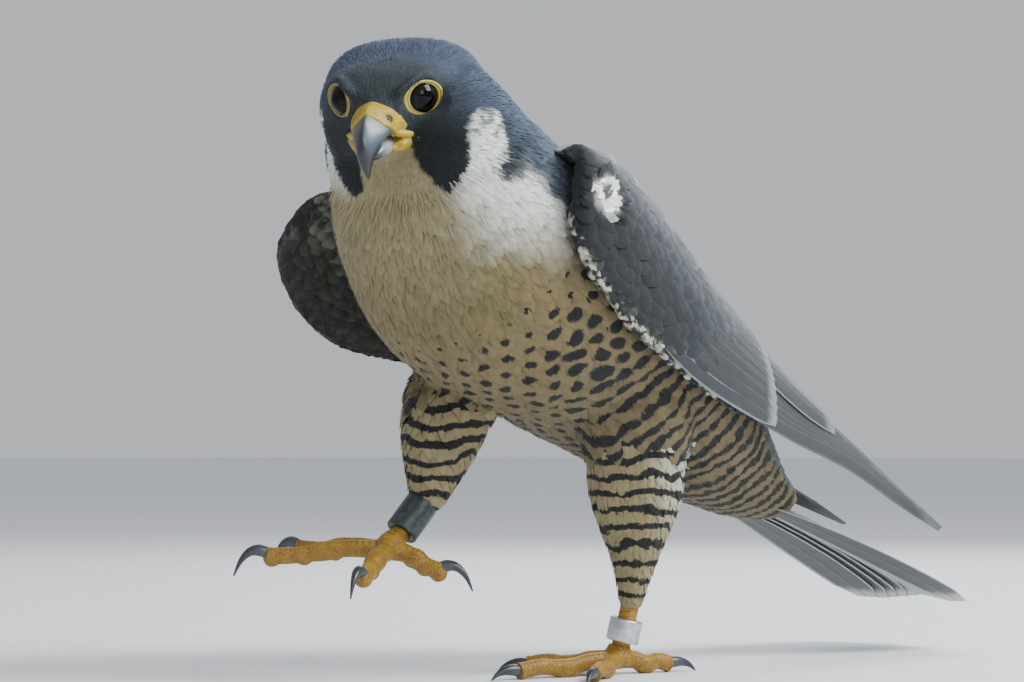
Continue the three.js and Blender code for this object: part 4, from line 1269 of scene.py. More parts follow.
PRIMARIES, SECONDARIES, GREATER_COVERTS, SCAPULAR_TIERS = 10, 11, 15, 5
PRIMARY_WIDTHS, SECONDARY_WIDTH, COVERT_WIDTH, SCAPULAR_WIDTH = (11, 14), 15, 12.5, 15
SCAPULAR_LINES = (1.07, 0.99, 0.91)


# Path of a vane over a sheet from root to tip, both (s, t), rising from one height to another.
def sheet_path(sheet, root, tip, base, rise):
    k = np.linspace(0, 1, QUILL_ROWS)
    s, t = mix(root[0], tip[0], k), mix(root[1], tip[1], k)
    n = sheet.normal(s, t)
    return sheet.at(s, t) + n * mix(base, rise, np.minimum(1, k * 1.6))[:, None], n


def add_primaries(quills, sheet, rng):
    for i in range(PRIMARIES):
        k = i / (PRIMARIES - 1)
        reach = 1 - 0.3 * k**1.15 - (0.03 if i == 0 else 0)
        path, n = sheet_path(sheet, (0.36, mix(0.06, 0.5, k)), (reach, mix(0.3, 0.4, k)), -0.6, 0.4)
        ground = mix(DUSK, SLATE, 0.25 + 0.3 * k) * rng.uniform(0.9, 1.1)
        look = ground, ground * 0.55, RIM * 0.6, (0.25, 0.55, 0.8)
        quills.add(path, n, mix(*PRIMARY_WIDTHS, k), POINTED, 1.9, look, 22, (0.2 + 0.6 * k, 0.9))


def add_secondaries(quills, sheet, rng):
    for i in range(SECONDARIES):
        k = i / (SECONDARIES - 1)
        root, tip = (0.34, mix(0.46, 0.93, k)), (mix(0.66, 0.60, k), mix(0.42, 0.86, k))
        path, n = sheet_path(sheet, root, tip, 0.0, 1.8)
        ground = mix(SLATE, MANTLE, k) * rng.uniform(0.9, 1.1)
        look = ground, ground * 0.5, RIM, (0.5, 0.8, 0.7)
        quills.add(path, n, SECONDARY_WIDTH, BLADE, 1.8, look, 11, (0.1 + 0.8 * k, 0.75))


def add_greater_coverts(quills, sheet, rng):
    for i in range(GREATER_COVERTS):
        t = mix(0.05, 0.94, i / (GREATER_COVERTS - 1))
        path, n = sheet_path(sheet, (0.24, t), (0.49 - 0.03 * t, mix(t, 0.5, 0.05)), 0.6, 2.9)
        ground = mix(SLATE, SCAPULAR, smooth(0.4, 1.0, t)) * rng.uniform(0.88, 1.12)
        look = ground, ground * 0.5, RIM * 1.1, (0.35, 0.9, 0.6)
        quills.add(path, n, COVERT_WIDTH, BLADE, 1.3, look, 6.5, (t, 0.55))


def add_scapulars(quills, sheet, rng):
    for tier in range(SCAPULAR_TIERS):
        for i, t in enumerate(SCAPULAR_LINES):
            start = max(0.0, 0.09 * tier - 0.02 * i + rng.normal(0, 0.004))
            rise = 5.4 - 0.35 * tier - 0.5 * i
            path, n = sheet_path(sheet, (start, t), (start + 0.115, t - 0.07), 0.2, rise)
            ground = SCAPULAR * rng.uniform(0.8, 1.1)
            look = ground, ground * 0.45, RIM * 1.3, (0.3, 0.9, 0.5)
            quills.add(path, n, SCAPULAR_WIDTH, BLADE, 1.2, look, 3.2, (0.95, 0.5 - 0.08 * tier))


def wing_quills(key, sheet):
    rng = draws(QUILL_SEEDS[key])
    quills = Quills(7)
    for add_row in (add_primaries, add_secondaries, add_greater_coverts, add_scapulars):
        add_row(quills, sheet, rng)
    quills.piece("wing_" + key)


# Thick feathered arm of the wing, closed round its leading edge.
def arm_mesh(sheet, rows=44, columns=34):
    k = np.linspace(0, 1, rows)**1.1
    s = np.repeat((ARM_END * k)[:, None], columns, 1)
    t = np.repeat(np.linspace(0, 1, columns)[None], rows, 0)
    pinch = np.sin(np.pi * np.clip(t, 0.02, 0.98))**0.4
    outer = mix(2.6, 1.9, np.minimum(1, s / ARM_END)) * pinch
    start = np.sqrt(np.clip(s / 0.03, 0.04, 1))
    depth = 1.2 + (ARM_THICK - 2.4) * np.maximum(0, 1 - s / ARM_END)**0.8 * (0.35 + 0.65 * (1 - t))
    depth = depth * pinch * start
    place = sheet.at(s, t)
    top, under = place + sheet.out * (outer * start)[..., None], place - sheet.out * depth[..., None]
    return fused([closed(np.concatenate([top, under[:, ::-1]], 1))], ARM_VOXEL, ARM_ROUNDS)


# Small feathers over the whole arm: patterned along its leading edge, scaled outside, barred inside.
class Arm:
    def __init__(self, key, sheet):
        self.key, self.sheet = key, sheet
        self.ground = Ground(arm_mesh(sheet))
        s, t = np.meshgrid(np.linspace(0, ARM_END + 0.04, 60), np.linspace(0, 1, 50), indexing="ij")
        self.grid = np.stack([s.ravel(), t.ravel()], 1)
        self.tree = KDTree(len(self.grid))
        for i, p in enumerate(sheet.at(self.grid[:, 0], self.grid[:, 1]).tolist()):
            self.tree.insert(p, i)
        self.tree.balance()

    def place(self, points):
        st = self.grid[[self.tree.find(p)[1] for p in points.tolist()]]
        height = dot(points - self.sheet.at(st[:, 0], st[:, 1]), self.sheet.out)
        return st[:, 0], st[:, 1], height

    # How far points belong to the barred inner side, which the folded wing hides at its shoulder.
    def inner_side(self, s, height):
        inner = smooth(-0.2, -1.6, height)
        return inner * smooth(0.0, 0.04, s) if self.key == "l" else inner

    def dress(self, points):
        s, t, height = self.place(points)
        front = smooth(0.045, 0.025, t) * smooth(0.42, 0.36, s) * (1 - smooth(-1.2, -2.4, height))
        if self.key == "r":
            front = front * 0.15
        outside = tint(SLATE, SCAPULAR, smooth(0.30, 0.85, t + 0.5 * s))
        outside = outside * (1 - 0.6 * smooth(0.6, 0.2, t) * smooth(0.40, 0.10, s))[:, None]
        wave = np.sin(s * WING_LONG / INNER_BAR * 2 * math.pi + 4 * noise(points, 7, 31))
        barred = tint(UNDER_DARK, UNDER_PALE, smooth(-0.2, 0.6, wave + 0.5 * noise(points, 3, 32)))
        barred = tint(barred, UNDER_DARK, smooth(0.36, 0.20, t) * 0.85)
        edge = tint(EDGE_PALE, INK * 2, smooth(-0.30, -0.05, noise(points, 1.5, 33)))
        ground = tint(tint(outside, barred, self.inner_side(s, height)), edge, front)
        ground = ground * (1 + 0.12 * noise(points, 5, 34))[:, None]
        if self.key == "l":
            white = tint(WHITE, CREAM, smooth(62, 57, points[:, 0]) * 0.8)
            white = tint(white, INK * 2, 0.9 * smooth(0.12, 0.28, noise(points, 3.0, 21)))
            ground = tint(ground, white, smooth(9.5, 7, np.linalg.norm(points - TUFT, axis=1)))
        quiet = np.zeros((len(points), 3))
        return ground, quiet.copy(), quiet + LEAST_MARK

    def feathers(self):
        def spacing(p):
            s, t, height = self.place(p)
            edge = smooth(0.11, 0.05, t) + smooth(0.05, 0.0, s)
            gap = mix(mix(4.3, 6.0, smooth(0.05, 0.3, s)), 1.4, np.minimum(1, edge))
            return np.minimum(gap, mix(9, 3.4, smooth(-0.2, -1.6, height)))
        roots, normals = self.ground.scatter(spacing, ARM_SEEDS[self.key])
        s, t, height = self.place(roots)
        keep = s < ARM_END - 0.06
        roots, normals, s, t, height = roots[keep], normals[keep], s[keep], t[keep], height[keep]
        way = unit(self.sheet.at(s + 0.01, t) - self.sheet.at(s, t))
        way = wayward(flattened(way, normals), normals, 0.07, ARM_LIE_SEED)
        edge = np.minimum(1, smooth(0.09, 0.04, t) + smooth(0.05, 0.0, s))
        inner = smooth(-0.2, -1.6, height)
        length = np.minimum(mix(mix(10.0, 16, smooth(0.05, 0.32, s)), 4.2, edge), mix(30, 8.5, inner))
        width = np.minimum(mix(mix(9, 12, smooth(0.05, 0.3, s)), 2.4, edge), mix(30, 6.5, inner))
        lift = mix(1.7, mix(0.9, 0.35, edge), np.maximum(edge, inner))
        sizes = length, width, lift
        tract = Feathers(self.ground, roots, normals, way, sizes, (0.15, 0.12, 0.2), ARM_SIZE_SEED)
        fringe = mix(0.25, 0.9, smooth(0.1, 0.6, t + s)) * varied(ARM_FRINGE_SEED, len(roots), 0.3)
        fringe = np.where((inner > 0.5) | (edge > 0.5), 0.1, fringe)
        tract.piece("coat_wing_" + self.key, self.dress, "trunk", 5, ROUNDED, 0.22, ARM_PIECE_SEED, 0.35,
                    fringe, 0.10)

    def skin(self):
        ground, marks, spot = self.dress(self.ground.points)
        mesh = self.ground.mesh
        for name, values in (("marks", marks), ("spot", spot), ("vane", marks)):
            paint(mesh, name, values)
        paint(mesh, "ground", ground * 0.8, "FLOAT_COLOR")
        piece("arm_" + self.key, mesh, PLUMAGE, ())

    # Loose white feathers with dark spots that stand up at the front of the wing.
    def tuft(self):
        def spacing(p):
            return np.where(np.linalg.norm((p - TUFT) / TUFT_REACH, axis=1) < 1, TUFT_GAP, 0)
        roots, normals = self.ground.scatter(spacing, TUFT_SEED)
        way = unit(TUFT_WAY + 0.45 * unit(roots - TUFT))
        way = wayward(flattened(way, normals), normals, 0.25, TUFT_SEED + 1)
        tract = Feathers(self.ground, roots, normals, way, TUFT_VANE, (0.3, 0.3, 0.4), TUFT_SEED + 2)
        tract.piece("coat_tuft", self.dress, "trunk", 4, ROUND_SOFT, 0.4, TUFT_SEED + 5, 0.6)


sheets = {key: Sheet(w["edge"], w["top"], w["bulge"], w["side"]) for key, w in WINGS.items()}
for wing_key, wing_sheet in sheets.items():
    wing_quills(wing_key, wing_sheet)
    arm = Arm(wing_key, wing_sheet)
    arm.feathers()
    arm.skin()
    if wing_key == "l":
        arm.tuft()

# Tail

TAIL_ROOT, TAIL_PITCH, TAIL_LENGTH, TAIL_SAG = np.array((0, 88, 74.0)), math.radians(17), 146, 7
TAIL_PAIRS, TAIL_SPREAD, TAIL_FEATHER = 6, math.radians(7.5), 24
# How far each pair starts further out and lower and ends sooner than the one inside it.
PAIR_OUT, PAIR_DOWN, PAIR_SHORT, LAST_SHORT = 1.7, 0.9, 1.1, 3
TAIL_BLADE = (0.33, 0.55, 0.74, 0.86, 0.94, 1.0, 1.0, 0.98, 0.90, 0.42)


def tail_piece():
    tail = Quills(9)
    back = np.array((0, math.cos(TAIL_PITCH), -math.sin(TAIL_PITCH)))
    up = np.array((0, math.sin(TAIL_PITCH), math.cos(TAIL_PITCH)))
    k = np.linspace(0, 1, QUILL_ROWS)
    for i in range(TAIL_PAIRS):
        for side in (1, -1):
            spread = TAIL_SPREAD * (i + 0.5) / TAIL_PAIRS * side
            along = back * math.cos(spread) + np.array((1, 0, 0)) * math.sin(spread)
            start = TAIL_ROOT + np.array((side * (1.5 + PAIR_OUT * i), 0, 0)) - up * PAIR_DOWN * i
            length = TAIL_LENGTH - PAIR_SHORT * i - (LAST_SHORT if i == TAIL_PAIRS - 1 else 0)
            path = start + along * (length * k)[:, None] - up * (TAIL_SAG * k * k)[:, None]
            ground = mix(SLATE * 1.25, DUSK * 1.2, 0.15 + 0.1 * i / TAIL_PAIRS)
            look = ground, ground * 0.35, PALE_RIM, (0.85, 0.75, 0.9)
            root = 0.5 + side * (0.04 + 0.07 * i), 0.5
            normals = np.tile(up, (QUILL_ROWS, 1))
            tail.add(path, normals, TAIL_FEATHER, TAIL_BLADE, 0, look, 10, root, camber=0.05)
    tail.piece("tail")


tail_piece()

# Bill, cere, eyes and lids

# Each row: distance ahead of the eyes, rise, half width, height above the axis, depth below it and the
# angle that the section nods by.
CERE = [(3, -8.0, 10.4, 10.6, 8.0, 0), (8, -7.6, 9.7, 10.1, 6.6, 3), (11, -7.2, 9.2, 9.7, 5.8, 6),
        (15, -6.9, 8.3, 8.9, 5.4, 12), (19, -7.2, 7.2, 7.3, 5.4, 22), (23, -9.8, 5.2, 5.3, 4.8, 42)]
CERE_POWERS = (1.0, 1.05, 1.3, 1.55, 1.65, 1.6)
BILL = [(4, -7.0, 8.7, 8.6, 5.4, 0), (9, -6.9, 8.5, 8.7, 5.3, 6), (12.5, -6.7, 8.0, 8.5, 5.3, 10),
        (17, -6.7, 7.1, 7.4, 5.2, 18), (21, -8.2, 5.9, 6.3, 5.2, 33), (24.6, -11.4, 4.3, 4.9, 4.7, 52),
        (26.7, -15.8, 2.8, 3.2, 2.9, 70), (27.2, -19.8, 1.5, 1.7, 1.4, 84),
        (26.8, -22.6, 0.45, 0.5, 0.4, 92)]
BILL_POWERS = (1.3, 1.4, 1.6, 1.75, 1.6, 1.3, 1.0, 1.0, 1.0)
LOWER_BILL = [(2, -15.6, 6.8, 3.6, 3.4), (10, -15.4, 6.6, 3.6, 3.4), (16, -15.4, 5.4, 3.2, 3.0),
              (20, -15.6, 3.8, 2.4, 2.2), (22.6, -15.9, 1.8, 1.1, 1.0)]


# Left, ahead and up in the head: the yellow skin along the gape, over the cheek and on the lower jaw.
GAPE = [(8.0, 10.4, -10.6), (9.8, 7.6, -11.6), (11.8, 4.8, -12.5), (13.6, 2.4, -13.2), (15.2, 0.2, -13.8)]
CHEEK_PAD = [(4.5, 7, -3), (7.0, 6.6, -6.4), (9.4, 5.4, -10)]
JAW = [(15.2, -0.4, -16.0), (12.0, 4.2, -15.6), (9.0, 8.4, -15.6), (6.4, 12.6, -15.6)]
GAPE_RADII, PAD_RADII, JAW_RADII = (1.0, 1.5, 1.5, 1.1, 0.4), (3.2, 3.4, 2.4), (0.5, 1.5, 2.2, 1.2)
CERE_VOXEL, CERE_ROUNDS, CERE_SINK = 0.36, 4, 1.5
# Heights in the head where the mouth opens, and how far ahead the skin of the lower jaw reaches.
MOUTH, JAW_SKIN_END = -13.4, 10.6
NOSTRIL = (6.4, 13.0, -3.8)
NOSTRIL_R, WELL_DEPTH, PIN_R, PIN_HEIGHT, LIP_R, LIP_HEIGHT = 1.75, 2.3, 0.75, 1.7, 2.1, 0.28


# Where the horn ends and the cere begins: further forward on the culmen than at the cutting edge.
def horn_edge(h):
    return 19.3 - 1.8 * smooth(1, -5, h[:, 2]) - 7.0 * np.clip((-5 - h[:, 2]) / 6, 0, 1)


def nostril(side):
    left, ahead, up = NOSTRIL
    return in_head(side * left, ahead, up), unit(LEFT * side * 0.72 + AHEAD * 0.46 + UP * 0.52)


def cere_solids(rows=120):
    solids = [closed(head_run(CERE, rows, 150, eased(CERE_POWERS, rows), 0, 0.90))]
    for side in (1, -1):
        solids.append(head_limb(GAPE, GAPE_RADII, side, 40, 24))
        solids.append(head_limb(CHEEK_PAD, PAD_RADII, side, 24, 24))
        solids.append(head_limb(JAW, JAW_RADII, side, 40, 20))
    return solids


# Draws the skin in under the horn, so that the horn covers its front edge.
def under_horn(points):
    h = to_head(points)
    above_mouth = h[:, 2] > MOUTH
    ahead, up = np.clip(h[:, 1:2], 6, 20), np.where(h[:, 2:3] > -13, -6, -15.8)
    middle = in_head(0, 0, 0) + AHEAD * ahead + UP * up
    past = h[:, 1] - np.where(above_mouth, horn_edge(h), JAW_SKIN_END)
    return points - unit(points - middle) * (CERE_SINK * smooth(-0.4, 0.5, past))[:, None]


# A round well with a raised lip and a pin in its middle, and the painted shade that darkens each point of
# its hollow.
def carve_nostril(points, side):
    mouth, out = nostril(side)
    r = points - mouth
    depth = r @ out
    far = np.linalg.norm(r - out * depth[:, None], axis=1)
    near = (np.abs(depth) < 5) & (far < 3.2)
    well = smooth(NOSTRIL_R, 1.2, far) * WELL_DEPTH - smooth(PIN_R, 0.45, far) * PIN_HEIGHT
    lip = LIP_HEIGHT * np.exp(-((far - LIP_R) / 0.45)**2)
    shade = 1 - 0.8 * np.where(near, smooth(1.6, 1.15, far), 0)
    return points + out * (np.where(near, lip - well, 0))[:, None], shade


def cere_mesh():
    mesh = fused(cere_solids(), CERE_VOXEL, CERE_ROUNDS)
    points = under_horn(mesh_points(mesh))
    shade = np.ones(len(points))
    for side in (1, -1):
        points, dark = carve_nostril(points, side)
        shade = shade * dark
    move_points(mesh, points)
    h = to_head(points)
    # Painted shade: darker at the upper back of the cere, where it meets the feathers, and in the nostril
    # wells.
    shade = shade * mix(1, 0.62, smooth(5.0, 2.0, h[:, 1]) * smooth(-11, -5, h[:, 2]))
    paint(mesh, "shade", np.repeat(shade[:, None], 3, 1) * (1, 0.97, 0.9), "FLOAT_COLOR")
    return mesh


# The tooth of the cutting edge: how far it hangs, how far ahead it sits and how long it is.
TOOTH_HANG, TOOTH_AHEAD, TOOTH_LONG = 1.0, 21.6, 1.3


def upper_bill_solid(rows=110):
    points, faces = closed(head_run(BILL, rows, 90, eased(BILL_POWERS, rows), 0, 0.85))
    h = to_head(points)
    tooth = np.exp(-((h[:, 1] - TOOTH_AHEAD) / TOOTH_LONG)**2)
    tooth = tooth * smooth(-8, -12, h[:, 2]) * smooth(1.2, 3.0, np.abs(h[:, 0]))
    return points - UP * (TOOTH_HANG * tooth)[:, None], faces


# Yellow skin between two colours, toned by the shade painted on the piece.
def bare_material(name, colour, second, scale, bump, coat):
    g = Graph(name)
    cell = g.cells(scale, "F1")
    spread = g.noise(scale * 0.25, 3)
    tone = g.blend(g.between(spread, 0.35, 0.7), rgb(colour), rgb(second))
    tone = g.blend(1.0, tone, g.attribute("shade").outputs["Color"], "MULTIPLY")
    g.bump(g.math("ADD", cell, g.math("MULTIPLY", spread, 0.6)), bump, 0.0005)
    g.set({"Coat Weight": coat, "Coat Roughness": 0.25})
    g.set({"Subsurface Weight": 0.08, "Subsurface Radius": (0.003, 0.0015, 0.0006)})
    return g.finish(tone, 0.5)


CERE_SKIN = bare_material("cere_skin", (0.36, 0.235, 0.006), (0.46, 0.34, 0.025), 900, 0.3, 0.06)
LID_SKIN = bare_material("lid_skin", (0.46, 0.34, 0.03), (0.54, 0.46, 0.09), 1500, 0.35, 0.1)


def horn_material(name):
    g = Graph(name)
    colour = g.attribute("ground").outputs["Color"]
    grain = g.noise(700, 4)
    tone = g.blend(g.math("MULTIPLY", grain, 0.08), colour, rgb((0.30, 0.36, 0.44)))
    g.bump(grain, 0.12, 0.0003)
    g.set({"Coat Weight": 0.12, "Coat Roughness": 0.2})
    return g.finish(tone, 0.34)


HORN = horn_material("horn")


BILL_PALE, LOWER_PALE = np.array((0.10, 0.145, 0.16)), np.array((0.27, 0.31, 0.29))
BILL_TIP = np.array((0.006, 0.008, 0.011))


# Blue-grey horn that darkens to the tip, with painted shade darkening the upper bill over its right side.
def bill_colours(points, lower):
    left, ahead, up = to_head(points).T
    if lower:
        return tint(LOWER_PALE, BILL_TIP, smooth(14, 22, ahead))
    # The first mask is the real dark tip; the second is painted shade on the bill's right side.
    return tint(BILL_PALE, BILL_TIP, np.clip(smooth(-4, -15, up) + smooth(2.2, -1.0, left) * 0.95, 0, 1))


def bill_piece(name, points, faces, lower):
    mesh = raw_mesh(name, points, faces)
    paint(mesh, "ground", bill_colours(points, lower), "FLOAT_COLOR")
    piece(name, mesh, HORN, (name,))


def bill_pieces():
    mesh = cere_mesh()
    ground = Ground(mesh)
    piece("cere", mesh, CERE_SKIN, ("cere",))
    bill_piece("bill_upper", *upper_bill_solid(), False)
    bill_piece("bill_lower", *closed(head_run(LOWER_BILL, 60, 60, 0.9)), True)
    return ground


def eye_material():
    g = Graph("eye_gloss")
    reach = g.attribute("reach").outputs["Fac"]
    fibre = g.noise(1400, 4)
    iris = g.blend(fibre, rgb((0.008, 0.005, 0.004)), rgb((0.016, 0.010, 0.007)))
    colour = g.blend(g.between(reach, 0.50, 0.58), rgb((0.001, 0.001, 0.001)), iris)
    colour = g.blend(g.between(reach, 0.78, 0.90), colour, rgb((0.003, 0.003, 0.003)))
    g.set({"Specular IOR Level": 0.10, "Coat Weight": 0.10, "Coat Roughness": 0.02})
    g.bump(fibre, 0.02, 0.0001)
    return g.finish(colour, 0.06)


EYE = eye_material()


CORNEA_BULGE = 0.045


def eye_piece(side, key, rows=60):
    gaze, across, rise, center, _ = eye_frame(side)
    a = np.linspace(0.02, math.pi - 0.02, rows)
    bulge = 1 + CORNEA_BULGE * smooth(0.95, 0.2, a)
    centers, radii = center + gaze * (EYE_R * np.cos(a) * bulge)[:, None], EYE_R * np.sin(a)
    sides, ups = np.tile(across, (rows, 1)), np.tile(rise, (rows, 1))
    points, faces = closed(rings(centers, sides, ups, radii, radii, radii, 64))
    mesh = raw_mesh("eye", points, faces)
    r = points - center
    reach = np.linalg.norm(r - gaze * (r @ gaze)[:, None], axis=1) / EYE_OPENING
    paint(mesh, "reach", np.where(r @ gaze > 0, reach, 9), "FLOAT")
    piece("eye_" + key, mesh, EYE, ("eye_" + key,))


# Thickness of the lid, how much it gains at the corners and at the front one, its crease and folds, and the
# painted shade that darkens the far lid.
LID_THICK, CORNER_GAIN, FRONT_GAIN = 0.74, 0.34, 0.16
CREASE_TURN, CREASE_WIDE, LID_FOLDS, FOLD_HEIGHT = 1.75, 0.30, 34, 0.07
FAR_LID_PAINTED_SHADE = 0.7


def lid_piece(side, key, around=132, section=28):
    gaze, across, rise, _, rim = eye_frame(side)
    a = 2 * np.pi * np.arange(around) / around
    out = across * np.cos(a)[:, None] * LID_LONG + rise * np.sin(a)[:, None] * LID_TALL
    thick = LID_THICK + CORNER_GAIN * np.abs(np.cos(a))**3 + FRONT_GAIN * smooth(0.3, 1, np.cos(a) * -side)
    turn = 2 * np.pi * np.arange(section) / section
    crease = np.exp(-((turn - CREASE_TURN) / CREASE_WIDE)**2)
    radial = (LID_R + thick[:, None] * np.cos(turn))[..., None] * out[:, None]
    wave = FOLD_HEIGHT * np.sin(a * LID_FOLDS)[:, None] * (0.5 + 0.5 * np.sin(turn))
    height = (thick[:, None] * (0.85 * np.sin(turn) - 0.40 * crease) + wave - 0.25)[..., None] * gaze
    points = (rim + radial + height).reshape(-1, 3)
    mesh = raw_mesh("lid", points, grid_faces(around, section, True, True))
    # Painted shade: darker in the crease, on the inner face against the eye, and over the whole far lid.
    shade = np.tile(1 - 0.72 * crease - 0.45 * smooth(2.4, 3.2, turn) * smooth(5.5, 4.5, turn), around)
    shade = np.repeat(shade[:, None], 3, 1) * (1 if side > 0 else FAR_LID_PAINTED_SHADE)
    paint(mesh, "shade", shade, "FLOAT_COLOR")
    piece("lid_" + key, mesh, LID_SKIN, ("lid_" + key,))


cere_ground = bill_pieces()
for eye_side, eye_key in ((1, "l"), (-1, "r")):
    eye_piece(eye_side, eye_key)
    lid_piece(eye_side, eye_key)

skin_piece()
head_tract()
body_tract()
thigh_tract()
down_tract()
bristle_tract()

# Legs and feet

TARSUS_R = 3.9
HUB = {"l": np.array((6, -3, 7.0)), "r": np.array((-32, -99, 54.0))}
ANKLE = {"l": np.array((10.8, 0.5, 33)), "r": np.array((-29, -80.5, 75))}
# Each toe: name, azimuth in degrees from straight ahead, length, radius and how far its end drops.
TOES = {
    "l": [("inner", -50, 38, 4.2, 0), ("middle", -13, 50, 3.9, 0), ("outer", 28, 41, 3.7, 0),
          ("hind", 162, 25, 4.1, 0)],
    "r": [("inner", 27, 32, 4.2, 9), ("middle", -34, 50, 3.9, 1.5), ("outer", -64, 40, 3.7, -1),
          ("hind", 128, 21, 4.1, 8)],
}
TOE_SHARES = np.array((0, 0.3, 0.52, 0.76, 1))
TOE_SWELL = np.array((1.0, 0.92, 1.04, 0.86, 0.98))
CLAW_SHARES, CLAW_FALL = np.array((-0.12, 0.2, 0.5, 0.78, 1)), np.array((-0.6, -1.7, -1.2, 0.25, 1))
CLAW_RADII = (2.4, 2.4, 1.8, 1.05, 0.3)
CLAW_REACH, OUTER_REACH = 15, 13
FOOT_VOXEL, FOOT_ROUNDS, SCUTE, TARSUS_SCUTE = 0.6, 3, 1.9, 2.4
CLAW_BASE, CLAW_TIP = np.array((0.05, 0.055, 0.065)), np.array((0.012, 0.012, 0.014))


def toe_way(azimuth):
    a = math.radians(azimuth)
    return np.array((math.sin(a), -math.cos(a), 0))


def toe_path(key, toe):
    _, azimuth, length, radius, sink = toe
    hub, raised = HUB[key], key == "r"
    rest = hub[2] - 1 if raised else radius - 0.4
    lifts = (np.array((0, 1.6, 1, -0.3, 0)) - sink * TOE_SHARES if raised
             else np.array((hub[2] - rest - 1, 2.2, 0, 1.2, -0.3)))
    path = np.array((hub[0], hub[1], rest)) + toe_way(azimuth) * (length * TOE_SHARES)[:, None]
    path[:, 2] += lifts
    return path


# A toe with its knuckles, and the raised foot's pads under it.
def toe_solids(key, toe, rows=60):
    radius = toe[3]
    path = resample(toe_path(key, toe), rows)
    joints = 1 - 0.07 * np.abs(np.sin(np.pi * (np.linspace(0, 1, rows) * 3.5 + 0.25)))**6
    solid = tube(path, eased(TOE_SWELL * radius, rows) * joints, 28)
    if key == "l":
        return [solid]
    return [solid] + [ball(p - np.array((0, 0, 1.0)), radius * 0.92) for p in path[[24, 40, 55]]]


def ball(center, radius, rows=14):
    a = np.linspace(0.05, math.pi - 0.05, rows)
    centers, radii = center + np.array((0, 0, 1.0)) * (radius * np.cos(a))[:, None], radius * np.sin(a)
    sides, ups = np.tile((1.0, 0, 0), (rows, 1)), np.tile((0, 1.0, 0), (rows, 1))
    return closed(rings(centers, sides, ups, radii, radii, radii, 18))


# Yellow skin with broad scutes on top and round pebbles elsewhere, darker in the grooves.
def foot_material():
    g = Graph("foot_skin")
    run = g.attribute("run").outputs["Fac"]
    top = g.attribute("top").outputs["Fac"]
    scute = g.math("FRACT", run)
    groove = g.between(g.math("ABSOLUTE", g.math("SUBTRACT", scute, 0.5)), 0.50, 0.38)
    pebble = g.cells(950, "DISTANCE_TO_EDGE")
    pebble = g.between(pebble, 0.0, 0.16)
    height = g.math("ADD", g.math("MULTIPLY", groove, top),
                    g.math("MULTIPLY", pebble, g.math("SUBTRACT", 1.0, top)))
    wear = g.noise(260, 4)
    tone = g.blend(g.between(wear, 0.3, 0.72), rgb((0.26, 0.12, 0.002)), rgb((0.35, 0.19, 0.005)))
    colour = g.blend(g.between(height, 0.0, 0.45), rgb((0.11, 0.055, 0.004)), tone)
    g.bump(height, 0.55, 0.0006)
    g.set({"Coat Weight": 0.1, "Coat Roughness": 0.4})
    return g.finish(colour, 0.5)


FOOT = foot_material()


def claw_run(key, toe):
    name, azimuth = toe[:2]
    end = toe_path(key, toe)[-1]
    reach = OUTER_REACH if name == "outer" else CLAW_REACH
    drop = 8 if key == "r" else end[2] - 0.25
    path = end + toe_way(azimuth) * (reach * 0.86 * CLAW_SHARES)[:, None]
    path[:, 2] -= drop * np.where(CLAW_FALL > 0, CLAW_FALL, CLAW_FALL * 0.16)
    return resample(path, 40), eased(CLAW_RADII, 40)


# Scutes counted along the toe that each point is nearest to.
def toe_run(points, key):
    run, nearest = np.zeros(len(points)), np.full(len(points), 1e9)
    for toe in TOES[key]:
        path = resample(toe_path(key, toe), 80)
        far = np.linalg.norm(points[:, None] - path[None], axis=2)
        pick = far.argmin(1)
        best = far[np.arange(len(points)), pick]
        run = np.where(best < nearest, pick / 79 * toe[2] / SCUTE, run)
        nearest = np.minimum(nearest, best)
    return run


def foot_piece(key):
    hub, raised = HUB[key], key == "r"
    top = hub + (np.array((0.6, 3.6, 5)) if raised else np.array((0.4, 0.2, 5.5)))
    solids = [limb([hub + (0, 0, -3.4), hub, top], (5.0, 6.3, 4.4), 16, 30)]
    for toe in TOES[key]:
        solids += toe_solids(key, toe)
    mesh = fused(solids, FOOT_VOXEL, FOOT_ROUNDS)
    points = mesh_points(mesh)
    if not raised:
        points[:, 2] = np.maximum(points[:, 2], 0)
        move_points(mesh, points)
    paint(mesh, "run", toe_run(points, key), "FLOAT")
    paint(mesh, "top", smooth(0.35, 0.7, mesh_normals(mesh)[:, 2]), "FLOAT")
    piece("foot_" + key, mesh, FOOT, ("foot_" + key,))


def tarsus_piece(key):
    hub, ankle = HUB[key], ANKLE[key]
    path = resample([ankle, mix(ankle, hub, 0.5), mix(ankle, hub, 0.9)], 40)
    mesh = raw_mesh("tarsus", *tube(path, np.full(40, TARSUS_R), 32))
    paint(mesh, "run", mesh_points(mesh)[:, 2] / TARSUS_SCUTE, "FLOAT")
    paint(mesh, "top", smooth(-0.2, 0.5, -mesh_normals(mesh)[:, 1]) * 0.8, "FLOAT")
    piece("tarsus_" + key, mesh, FOOT, ("tarsus_" + key,))


def claw_piece(key, toe):
    path, radii = claw_run(key, toe)
    points, faces = tube(path, radii, 22)
    if key == "l":
        points[:, 2] = np.maximum(points[:, 2], 0.02)
    mesh = raw_mesh("claw", points, faces)
    along = smooth(0, 9, np.linalg.norm(points - path[4], axis=1))
    paint(mesh, "ground", tint(CLAW_BASE, CLAW_TIP, along), "FLOAT_COLOR")
    node = f"claw_{toe[0]}_{key}"
    piece(node, mesh, HORN, (node,))


def band_material(name, colour, second, metallic, roughness):
    g = Graph(name)
    wear = g.noise(420, 4)
    tone = g.blend(g.between(wear, 0.35, 0.7), rgb(colour), rgb(second))
    g.shader.inputs["Metallic"].default_value = metallic
    g.bump(wear, 0.12, 0.0003)
    return g.finish(tone, roughness)


